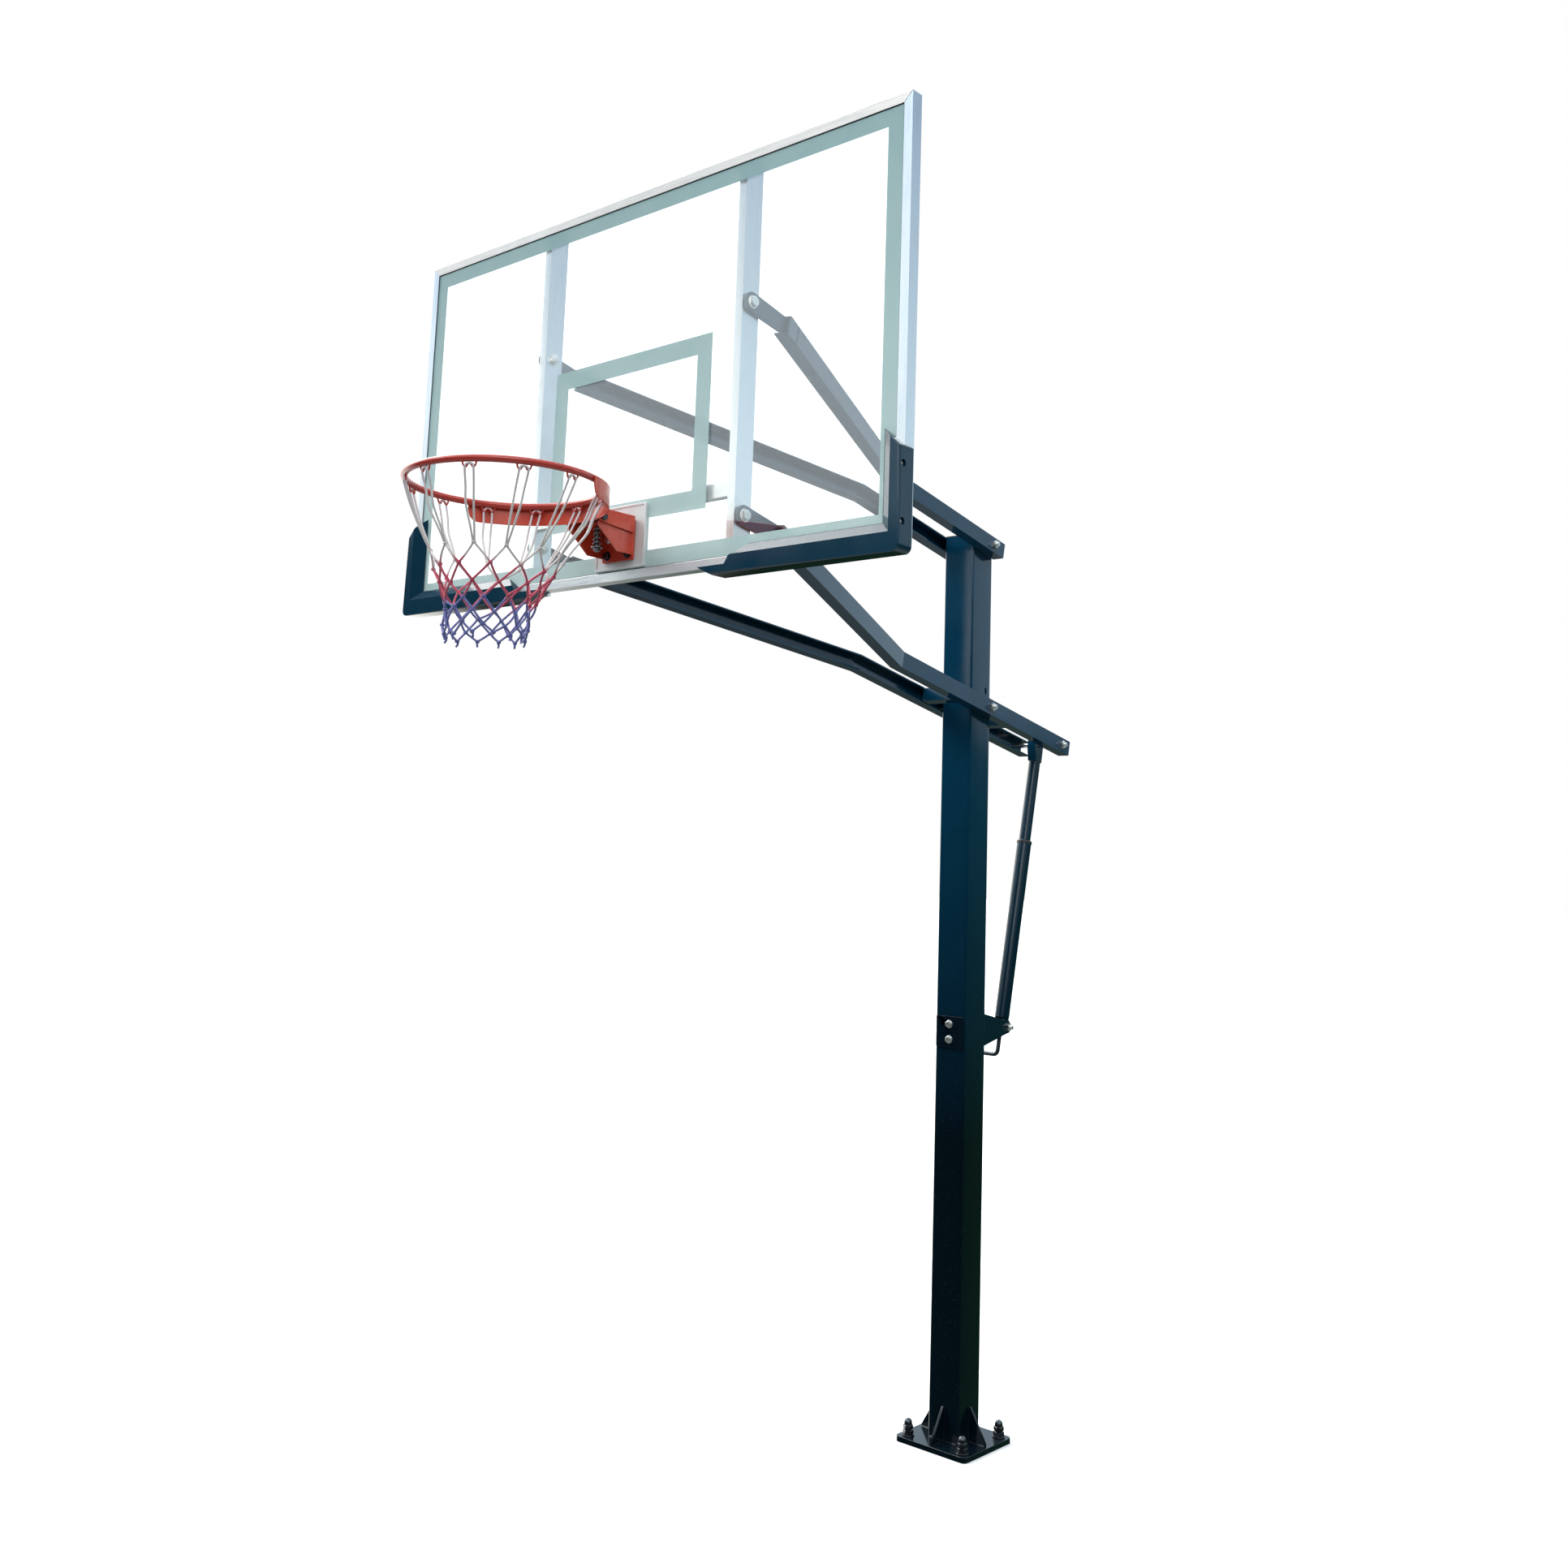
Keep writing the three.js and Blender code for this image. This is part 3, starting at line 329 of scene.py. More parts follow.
def make_finishes():
    dust = ((0.16, 0.18, 0.19), 260, 0.66, 0.20)
    brushed = dict(metallic=1.0, patch=5, specks=[((0.42, 0.41, 0.40), 90, 0.70, 0.45),
                                                  ((0.52, 0.52, 0.52), 7, 0.62, 0.25)])
    bright = [(0.36, 0.345, 0.335), (0.44, 0.42, 0.41), (0.40, 0.385, 0.37)]
    metal = [(0.31, 0.36, 0.43), (0.38, 0.44, 0.51), (0.35, 0.40, 0.47)]
    return {
        # the navy coats of the pole and the jack tubes are painted near black towards the foot: painted
        # shade
        "navy": surface(
            "navy_powder_coat", [(0.0012, 0.032, 0.070), (0.002, 0.040, 0.084), (0.0015, 0.036, 0.077)],
            (0.09, 0.16), [(420, 0.025, 0.0005), (5, 0.05, 0.004)], specks=[dust],
            painted_shading=((0.001, 0.005, 0.009), *POLE_PAINTED_SHADE)),
        "tube": surface(
            "navy_powder_coat_tube", [(0.0015, 0.020, 0.040), (0.002, 0.026, 0.050)],
            (0.10, 0.18), [(5, 0.05, 0.004)], specks=[dust],
            painted_shading=((0.001, 0.010, 0.018), *POLE_PAINTED_SHADE), Specular_IOR_Level=0.3),
        "dark": surface(
            "navy_powder_coat_dark", [(0.001, 0.005, 0.011), (0.001, 0.007, 0.014)],
            (0.14, 0.24), [(420, 0.03, 0.0005)], specks=[dust]),
        # the aluminium is painted near-white low on the board (painted light) and darker towards its top
        # (painted shade)
        "alu_x": surface(
            "aluminium_lengthways", bright, (0.26, 0.42), [(9, 0.12, 0.0004)],
            stretch=(1, 60, 60), painted_shading=((0.96, 0.96, 0.95), *BOARD_PAINTED_LIGHT_AND_SHADE), **brushed),
        "alu_z": surface(
            "aluminium_upright", metal, (0.26, 0.42), [(9, 0.12, 0.0004)],
            stretch=(60, 60, 1), painted_shading=((0.94, 0.96, 0.96), *BOARD_PAINTED_LIGHT_AND_SHADE), **brushed),
        "orange": surface(
            "orange_enamel", [(0.50, 0.040, 0.020), (0.60, 0.062, 0.030), (0.54, 0.048, 0.024)],
            (0.20, 0.34), [(420, 0.02, 0.0005), (30, 0.08, 0.0012)], patch=7,
            specks=[((0.16, 0.020, 0.018), 150, 0.68, 0.6), ((0.62, 0.20, 0.12), 40, 0.67, 0.20)],
            Coat_Weight=0.15, Coat_Roughness=0.12),
        "red": surface(
            "orange_enamel_ring", [(0.34, 0.024, 0.018), (0.44, 0.036, 0.024), (0.38, 0.028, 0.020)],
            (0.20, 0.34), [(30, 0.06, 0.0012)], patch=7,
            specks=[((0.12, 0.015, 0.020), 150, 0.68, 0.6)]),
        "silver": surface(
            "silver_enamel", [(0.58, 0.60, 0.60), (0.66, 0.68, 0.68), (0.62, 0.64, 0.64)],
            (0.28, 0.45), [(480, 0.06, 0.0005)], metallic=0.15, patch=9,
            specks=[((0.34, 0.30, 0.26), 60, 0.72, 0.4)]),
        "zinc": surface(
            "zinc_plate", [(0.56, 0.56, 0.54), (0.72, 0.72, 0.70), (0.62, 0.63, 0.64)],
            (0.26, 0.46), [(300, 0.08, 0.0005)], metallic=1.0, patch=60,
            specks=[((0.22, 0.20, 0.18), 420, 0.62, 0.5)]),
        "steel": surface(
            "dark_steel", [(0.03, 0.036, 0.045), (0.07, 0.078, 0.09), (0.045, 0.05, 0.06)],
            (0.16, 0.36), [(260, 0.1, 0.0006)], metallic=0.9, patch=40,
            specks=[((0.30, 0.30, 0.29), 500, 0.66, 0.5)]),
        "spring": surface(
            "spring_steel", [(0.13, 0.14, 0.15), (0.24, 0.25, 0.26), (0.18, 0.19, 0.20)],
            (0.24, 0.40), [(500, 0.1, 0.0004)], metallic=0.9, patch=80),
        "pad": surface(
            "corner_pad_rubber", [(0.003, 0.027, 0.050), (0.005, 0.034, 0.062), (0.004, 0.030, 0.056)],
            (0.09, 0.15), [(60, 0.01, 0.0012)], patch=6,
            specks=[((0.06, 0.08, 0.09), 330, 0.72, 0.2)], Specular_IOR_Level=0.42),
        "plastic": surface(
            "black_plastic", [(0.012, 0.013, 0.015), (0.020, 0.021, 0.023)],
            (0.38, 0.55), [(900, 0.3, 0.0004)], patch=30,
            specks=[((0.10, 0.10, 0.10), 420, 0.68, 0.3)]),
        "glass": glass_finish(),
        "print": print_finish(),
        "cord": cord_finish(),
    }


# ------------------------ mesh helpers

def add_piece(name, bm, finish, body, replaces=(), bevel=0.0, sharp=32):
    """Makes an object of bm that rides on body and stands in for the CAD nodes in replaces."""
    piece = raw_object(bm, name)
    if bevel:
        soften(piece, bevel)
    finish_piece(piece, finish, body, replaces, sharp)
    return piece


def raw_object(bm, name="cutter"):
    """Object of bm with no look yet."""
    bmesh.ops.recalc_face_normals(bm, faces=bm.faces)
    mesh = bpy.data.meshes.new(name)
    bm.to_mesh(mesh)
    bm.free()
    return new_object(name, mesh)


def finish_piece(piece, finish, body, replaces, sharp=32):
    """Looks, smooth shading, body and replaced nodes of a piece."""
    mesh = piece.data
    mesh.materials.clear()
    mesh.materials.append(FINISHES[finish])
    mesh.polygons.foreach_set("use_smooth", [True] * len(mesh.polygons))
    mesh.set_sharp_from_angle(angle=math.radians(sharp))
    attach(piece, body)
    if replaces:
        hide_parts(*replaces)


def soften(piece, width, segments=2, sharp=32):
    edge = piece.modifiers.new("edges", "BEVEL")
    edge.width = width
    edge.segments = segments
    edge.limit_method = "ANGLE"
    edge.angle_limit = math.radians(sharp)
    edge.harden_normals = True
    edge.miter_outer = "MITER_ARC"


def dress(node, finish, width, sharp=32):
    """A CAD node whose shape is right: welded, planar faces merged, edges rounded."""
    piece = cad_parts[node]
    mesh = piece.data
    mesh.materials.clear()
    mesh.materials.append(FINISHES[finish])
    if "custom_normal" in mesh.attributes:
        mesh.attributes.remove(mesh.attributes["custom_normal"])
    mesh.polygons.foreach_set("use_smooth", [True] * len(mesh.polygons))
    weld = piece.modifiers.new("weld", "WELD")
    weld.merge_threshold = 0.02 * MM
    planes = piece.modifiers.new("planes", "DECIMATE")
    planes.decimate_type = "DISSOLVE"
    planes.angle_limit = math.radians(0.8)
    soften(piece, width, sharp=sharp)


def ring_of(bm, centre, u, v, radius, sides):
    step = math.tau / sides
    return [bm.verts.new(centre + radius * (math.cos(i * step) * u + math.sin(i * step) * v))
            for i in range(sides)]


def bridge(bm, a, b, uv=None, rows=(0, 1)):
    """Faces between two rings of the same count, with (round, along) UVs where uv is given."""
    count = len(a)
    for i in range(count):
        j = (i + 1) % count
        face = bm.faces.new((a[i], a[j], b[j], b[i]))
        if uv:
            for loop, (x, y) in zip(face.loops, ((i, 0), (i + 1, 0), (i + 1, 1), (i, 1))):
                loop[uv].uv = (x / count * 3, rows[y])


def tube(bm, points, radius, sides=10, closed=False, uv=None):
    """Round bar along points; radius is a number or one number for each point."""
    points = [Vector(p) for p in points]
    count = len(points)
    radii = radius if isinstance(radius, (list, tuple)) else [radius] * count
    side = None
    rings = []
    travelled = 0.0
    rows = []
    for i, point in enumerate(points):
        after = points[(i + 1) % count] if closed else points[min(i + 1, count - 1)]
        before = points[i - 1] if closed or i else points[0]
        along = (after - before).normalized()
        if side is None:
            side = along.orthogonal().normalized()
        side = (side - along * side.dot(along)).normalized()
        if i:
            travelled += (point - points[i - 1]).length
        rows.append(travelled / (6 * MM))
        rings.append(ring_of(bm, point, side, along.cross(side), radii[i], sides))
    for i in range(count - 1):
        bridge(bm, rings[i], rings[i + 1], uv, (rows[i], rows[i + 1]))
    if closed:
        bridge(bm, rings[-1], rings[0], uv, (rows[-1], rows[-1] + 1))
    else:
        bm.faces.new(reversed(rings[0]))
        bm.faces.new(rings[-1])


def lathe(bm, profile, sides, matrix):
    """Closed solid turned about Z from (radius, height) points. A profile that starts off the
    axis is closed on itself."""
    rings = []
    for radius, height in profile:
        if radius < 1e-6:
            rings.append([bm.verts.new(matrix @ Vector((0, 0, height)))])
        else:
            rings.append([bm.verts.new(matrix @ Vector((
                radius * math.cos(math.tau * i / sides), radius * math.sin(math.tau * i / sides),
                height))) for i in range(sides)])
    if profile[0][0] > 1e-6:
        rings.append(rings[0])
    for a, b in zip(rings, rings[1:]):
        if len(a) == 1 or len(b) == 1:
            tip, rim = (a[0], b) if len(a) == 1 else (b[0], a)
            for i in range(sides):
                bm.faces.new((tip, rim[i], rim[(i + 1) % sides]))
        else:
            bridge(bm, a, b)


def hexagon(bm, flat, low, high, matrix, both=False):
    """Hex nut or head with the usual turned chamfer on its outer face, or on both."""
    sides = 24
    circle = flat * 0.94

    def radius(i):
        return flat / math.cos((i * math.tau / sides + math.pi / 6) % (math.pi / 3) - math.pi / 6)

    def ring(height, radii):
        return [bm.verts.new(matrix @ Vector((
            r * math.cos(i * math.tau / sides), r * math.sin(i * math.tau / sides), height(r))))
            for i, r in enumerate(radii)]

    full = [radius(i) for i in range(sides)]
    slope = math.tan(math.radians(30))
    rings = [ring(lambda r: high, [circle] * sides),
             ring(lambda r: high - (r - circle) * slope, full)]
    if both:
        rings += [ring(lambda r: low + (r - circle) * slope, full),
                  ring(lambda r: low, [circle] * sides)]
    else:
        rings += [ring(lambda r: low, full)]
    bm.faces.new(rings[0])
    for a, b in zip(rings, rings[1:]):
        bridge(bm, a, b)
    bm.faces.new(reversed(rings[-1]))


def washer(bm, inner, outer, low, high, matrix):
    edge = 0.4 * MM
    lathe(bm, [(inner, low), (outer - edge, low), (outer, low + edge), (outer, high - edge),
               (outer - edge, high), (inner, high)], 32, matrix)


def thread(bm, radius, low, high, matrix):
    """Threaded rod with fine ridges and a chamfered end at high."""
    pitch = 1.6 * MM
    profile = [(0, low), (radius * 0.9, low)]
    count = max(int((high - low) / pitch), 1)
    for i in range(count):
        at = low + (high - low) * i / count
        profile += [(radius, at + pitch * 0.3), (radius * 0.88, at + pitch * 0.8)]
    profile += [(radius * 0.8, high), (0, high)]
    lathe(bm, profile, 20, matrix)


# ------------------------ bolts

WASHER = 2 * MM
END = 4 * MM
THREAD_SHOWN = 5 * MM
# As shares of the shank's radius: head and nut heights, washer radius, half the width across flats.
HEAD, NUT, SHANK_TO_WASHER, FLAT = 1.1, 1.6, 2.1, 1.52


def axis_matrix(origin, axis):
    turn = Vector(axis).to_track_quat("Z", "Y").to_matrix().to_4x4()
    return Matrix.Translation(origin) @ turn


def through_bolt(node, axis, body, finish="zinc", nut=HEAD, shown=0.0):
    """Bolt in place of a CAD bolt: axis points from the nut to the head. The nut's height is a share
    of the shank radius, and shown is extra thread past it."""
    low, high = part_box(node)
    size = high - low
    axis = Vector(axis)
    along = max(range(3), key=lambda i: abs(axis[i]))
    r = size[(along + 1) % 3] / 2 / SHANK_TO_WASHER
    centre = (low + high) / 2
    half = size[along] / 2
    head = WASHER + HEAD * r
    seat = half - head
    foot = -half + END + head
    place = axis_matrix(centre, axis)
    bm = bmesh.new()
    outer = r * SHANK_TO_WASHER
    gap = 0.2 * MM
    shank, end = r * 0.96, seat + WASHER + 1 * MM
    lathe(bm, [(0, foot - head), (shank, foot - head), (shank, end), (0, end)], 20, place)
    washer(bm, r * 1.06, outer, seat + gap, seat + WASHER, place)
    hexagon(bm, r * FLAT, seat + WASHER, half, place)
    washer(bm, r * 1.06, outer, foot - WASHER, foot - gap, place)
    flip = place @ Matrix.Rotation(math.pi, 4, "X")
    nut_end = -foot + WASHER + nut * r
    hexagon(bm, r * FLAT, -foot + WASHER, nut_end, flip, both=True)
    thread(bm, r, nut_end - 1 * MM, nut_end + END + shown, flip)
    add_piece(f"{node}_set", bm, finish, body, [node], sharp=25)


def make_bolts():
    for node, body in (("lower_pivot_bolt", "pole"), ("upper_pivot_bolt", "pole"),
                       ("jack_foot_bolt", "pole"), ("jack_top_bolt", "lower_arms")):
        through_bolt(node, (-1, 0, 0), body, nut=NUT, shown=THREAD_SHOWN)
    for level in ("lower", "upper"):
        through_bolt(f"clamp_bolt_{level}", (0, -1, 0), "pole")
        for side, x in (("left", -1), ("right", 1)):
            through_bolt(f"front_bolt_{level}_{side}", (x, 0, 0), "backboard")
    for i in range(4):
        through_bolt(f"rim_bolt_{i + 1}", (0, -1, 0), "backboard", "steel" if i < 2 else "zinc")


def make_anchors():
    """Anchor studs, each with a washer, a nut and a domed cap nut."""
    stud, dome_radius, collar = 9 * MM, 12.6 * MM, 6 * MM
    seat = 15.5 * MM
    base = seat + 30 * MM
    for end in ("front", "back"):
        for side in ("left", "right"):
            node = f"anchor_bolt_{end}_{side}"
            low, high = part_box(node)
            middle = (low + high) / 2
            place = Matrix.Translation((middle.x, middle.y, low.z))
            bm = bmesh.new()
            lathe(bm, [(0, 0), (stud, 0), (stud, seat), (0, seat)], 20, place)
            washer(bm, 9.3 * MM, 20 * MM, seat + 0.2 * MM, seat + 3 * MM, place)
            hexagon(bm, 14.8 * MM, seat + 3 * MM, seat + 17 * MM, place, both=True)
            thread(bm, stud, seat + 16 * MM, seat + 20 * MM, place)
            hexagon(bm, 13.8 * MM, seat + 19 * MM, seat + 31 * MM, place, both=True)
            top = high.z - low.z
            dome = [(0, base), (dome_radius, base)]
            for i in range(8):
                turn = i * math.pi / 16
                dome.append((dome_radius * math.cos(turn),
                             base + collar + (top - base - collar) * math.sin(turn)))
            lathe(bm, dome + [(0, top)], 28, place)
            add_piece(f"{node}_set", bm, "steel", "pole", [node], sharp=28)


# ------------------------ rim

def arc_xy(centre, radius, start, end, count):
    return [centre + Vector((radius * math.cos(t), radius * math.sin(t), 0))
            for t in (start + (end - start) * i / (count - 1) for i in range(count))]


def ring_centre():
    """Centre, radius to the middle of the bar, and radius of the bar."""
    low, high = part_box("rim_ring")
    return (low + high) / 2, (high.x - low.x) / 2 - (high.z - low.z) / 2, (high.z - low.z) / 2


HOOKS = 12
HOOK_PHASE = math.radians(1.5)


def hook_points(angle):
    """Bent wire under the ring: down, curled up in the middle, down and back. The half shape
    is (across, out, down) in millimetres."""
    centre, radius, _ = ring_centre()
    half = [(17, 0, -6), (15.5, -1, -13), (12, -2, -19), (8, -2.5, -19.5), (5, -2, -15),
            (2.5, -1.5, -12.5)]
    points = []
    for across, out, down in [(-a, b, c) for a, b, c in half] + [(0, -1.5, -11.8)] + half[::-1]:
        turn = angle + across * MM / radius
        r = radius + out * MM
        points.append(centre + Vector((r * math.cos(turn), r * math.sin(turn), down * MM)))
    return smooth_line(points, 4)


def smooth_line(points, parts):
    """Catmull-Rom line through points."""
    count = len(points)
    line = []
    for i in range(count - 1):
        p = [points[min(max(k, 0), count - 1)] for k in range(i - 1, i + 3)]
        for s in range(parts):
            t = s / parts
            line.append(0.5 * (2 * p[1] + (p[2] - p[0]) * t
                               + (2 * p[0] - 5 * p[1] + 4 * p[2] - p[3]) * t * t
                               + (3 * p[1] - p[0] - 3 * p[2] + p[3]) * t ** 3))
    return line + [points[-1]]


def make_ring():
    centre, radius, bar = ring_centre()
    bm = bmesh.new()
    tube(bm, arc_xy(centre, radius, 0, math.tau * 143 / 144, 144), bar, 24, closed=True)
    add_piece("rim_ring_bar", bm, "red", "rim", ["rim_ring"])
    bm = bmesh.new()
    for k in range(HOOKS):
        tube(bm, hook_points(HOOK_PHASE + k * math.tau / HOOKS), 2.3 * MM, 8)
    add_piece("net_hooks", bm, "red", "rim")


def make_housing():
    """Skirt band with rounded lower corners, top plate and ears, in place of the CAD housing."""
    centre, _, _ = ring_centre()
    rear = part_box("rim_housing")[1].y
    axis = Vector((centre.x, centre.y, 0))
    inner, wall, start, corner = 247.5 * MM, 3.5 * MM, math.radians(17), 30 * MM
    skirt_bottom, skirt_top = 2578 * MM, 2628 * MM
    bm = bmesh.new()
    steps = 96
    columns = []
    for i in range(steps + 1):
        turn = start + (math.pi - 2 * start) * i / steps
        travel = min(turn - start, math.pi - start - turn) * inner
        lift = corner - math.sqrt(max(corner ** 2 - (corner - min(travel, corner)) ** 2, 0))
        bottom = skirt_bottom + min(lift, corner - 2 * MM)
        direction = Vector((math.cos(turn), math.sin(turn), 0))
        columns.append([bm.verts.new(axis + direction * r + Vector((0, 0, z)))
                        for r, z in ((inner, bottom), (inner + wall, bottom),
                                     (inner + wall, skirt_top), (inner, skirt_top))])
    for a, b in zip(columns, columns[1:]):
        bridge(bm, a, b)
    bm.faces.new(reversed(columns[0]))
    bm.faces.new(columns[-1])
    add_piece("rim_skirt", bm, "orange", "rim", bevel=0.9 * MM, sharp=30)

    plate_bottom, plate_top = 2606 * MM, 2611 * MM
    outer, ear_wall, ear_radius = 63 * MM, 4 * MM, 12 * MM
    bm = bmesh.new()
    arc = arc_xy(axis, inner + wall - 0.5 * MM, math.radians(75.6), math.radians(104.4), 25)
    outline = [Vector((outer, rear, 0))] + arc + [Vector((-outer, rear, 0))]
    prism(bm, [(p.x, p.y) for p in outline], plate_bottom, plate_top, "Z")
    pivot_y, pivot_z = middle_yz("rim_pivot_pin")
    top = plate_top - 1 * MM
    ear = [(rear, top), (rear, pivot_z - 22 * MM), (pivot_y, pivot_z - ear_radius)]
    ear += [(pivot_y + ear_radius * math.cos(t), pivot_z + ear_radius * math.sin(t))
            for t in (-math.pi / 2 - math.pi / 2 * i / 8 for i in range(1, 9))]
    ear += [(pivot_y - ear_radius, top)]
    for x in (-outer, outer - ear_wall):
        prism(bm, ear, x, x + ear_wall, "X")
    add_piece("rim_top_plate", bm, "orange", "rim", ["rim_housing"], bevel=1.0 * MM)


def make_folds():
    """Folded edges that stiffen the bracket's cheeks at the board end."""
    low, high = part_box("rim_bracket")
    proud, wide, sunk = 1.5 * MM, 8 * MM, 0.2 * MM
    bottom, top = 2.514, 2.572
    rear = high.y - 5.2 * MM
    fold = [(rear - wide, bottom), (rear, bottom), (rear, top), (rear - wide, top)]
    bm = bmesh.new()
    for x in (low.x - proud, high.x - sunk):
        prism(bm, fold, x, x + proud + sunk, "X")
    add_piece("bracket_folds", bm, "orange", "backboard", bevel=0.5 * MM)


def middle_yz(node):
    low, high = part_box(node)
    return (low.y + high.y) / 2, (low.z + high.z) / 2


def prism(bm, outline, start, end, axis):
    """Prism of an outline square to axis, given in the two other axes in order. Returns the
    first end's corners."""
    def at(a, b, c):
        return {"X": (c, a, b), "Y": (a, c, b), "Z": (a, b, c)}[axis]
    lower = [bm.verts.new(at(a, b, start)) for a, b in outline]
    upper = [bm.verts.new(at(a, b, end)) for a, b in outline]
    bm.faces.new(lower)
    bm.faces.new(upper)
    bridge(bm, lower, upper)
    return lower


def make_spring():
    """Coil spring and its bolt, with a washer at each end."""
    wire, turns, steps = 2.6 * MM, 4.5, 108
    low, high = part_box("rim_spring")
    middle = (low + high) / 2
    radius = (high.x - low.x) / 2 - wire
    points = []
    for i in range(steps + 1):
        t = i / steps
        eased = t - 0.035 * math.sin(math.tau * t)
        angle = t * turns * math.tau
        points.append((middle.x + radius * math.cos(angle), middle.y + radius * math.sin(angle),
                       low.z + wire + (high.z - low.z - 2 * wire) * eased))
    bm = bmesh.new()
    tube(bm, points, wire, 12)
    coil = add_piece("rim_spring_coil", bm, "spring", "rim", ["rim_spring"])
    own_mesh(coil)

    low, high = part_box("rim_spring_bolt")
    tall = high.z - low.z
    middle = (low + high) / 2
    place = Matrix.Translation((middle.x, middle.y, low.z))
    end_up = place @ Matrix.Translation((0, 0, 14 * MM)) @ Matrix.Rotation(math.pi, 4, "X")
    shank, bore, across = 5 * MM, 5.2 * MM, 8 * MM
    bm = bmesh.new()
    thread(bm, shank, 0, 14 * MM, end_up)
    lathe(bm, [(0, 10 * MM), (shank, 10 * MM), (shank, tall - 4 * MM), (0, tall - 4 * MM)], 24, place)
    washer(bm, bore, 15.5 * MM, 10.2 * MM, 13 * MM, place)
    hexagon(bm, across, 2 * MM, 10.2 * MM, place, both=True)
    washer(bm, bore, 12 * MM, tall - 9.4 * MM, tall - 7.2 * MM, place)
    hexagon(bm, across, tall - 7.2 * MM, tall, place)
    add_piece("rim_spring_bolt_set", bm, "spring", "rim", ["rim_spring_bolt"], sharp=25)


def make_pivot_pin():
    """Pin with thick ends, turned down between them."""
    low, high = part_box("rim_pivot_pin")
    half = (high.x - low.x) / 2
    place = axis_matrix((0, *middle_yz("rim_pivot_pin")), (1, 0, 0))
    pin, neck = 9 * MM, 6 * MM
    bm = bmesh.new()
    ends = [(0, -half), (8 * MM, -half), (pin, -half + 1 * MM), (pin, -half + 6 * MM),
            (neck, -half + 6.4 * MM)]
    lathe(bm, ends + [(r, -h) for r, h in reversed(ends)], 28, place)
    add_piece("rim_pivot_pin_turned", bm, "steel", "backboard", ["rim_pivot_pin"], sharp=25)


def make_mount_plate():
    """Plate with a raised border and rounded corners."""
    low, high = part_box("rim_mount_plate")
    border, proud, corner = 7 * MM, 1.6 * MM, 4 * MM

    def loop(inset, r):
        x0, x1, z0, z1 = low.x + inset, high.x - inset, low.z + inset, high.z - inset
        points = []
        for cx, cz, first in ((x1 - r, z0 + r, -90), (x1 - r, z1 - r, 0),
                              (x0 + r, z1 - r, 90), (x0 + r, z0 + r, 180)):
            for i in range(5):
                t = math.radians(first + 22.5 * i)
                points.append((cx + r * math.cos(t), cz + r * math.sin(t)))
        return points

    bm = bmesh.new()
    rings = []
    for inset, depth, r in ((0, high.y, corner), (0, low.y + 1 * MM, corner),
                            (1 * MM, low.y, corner - 1 * MM), (border - 1 * MM, low.y, 2.5 * MM),
                            (border, low.y + proud, 2 * MM)):
        rings.append([bm.verts.new((x, depth, z)) for x, z in loop(inset, r)])
    for a, b in zip(rings, rings[1:]):
        bridge(bm, a, b)
    bm.faces.new(rings[0])
    bm.faces.new(reversed(rings[-1]))
    add_piece("rim_mount_plate_pressed", bm, "silver", "backboard", ["rim_mount_plate"], sharp=40)


# ------------------------ net

# Each row of knots: height, radius, and turn as a share of the gap between hooks.
NET_ROWS = [(2.452, 0.160, 0.0), (2.410, 0.142, 0.5), (2.372, 0.122, 0.0), (2.339, 0.110, 0.5),
            (2.311, 0.103, 0.0), (2.278, 0.098, 0.5)]
NET_FOOT = 2.256
CORD = 2.65 * MM
KNOT = 3.3 * MM


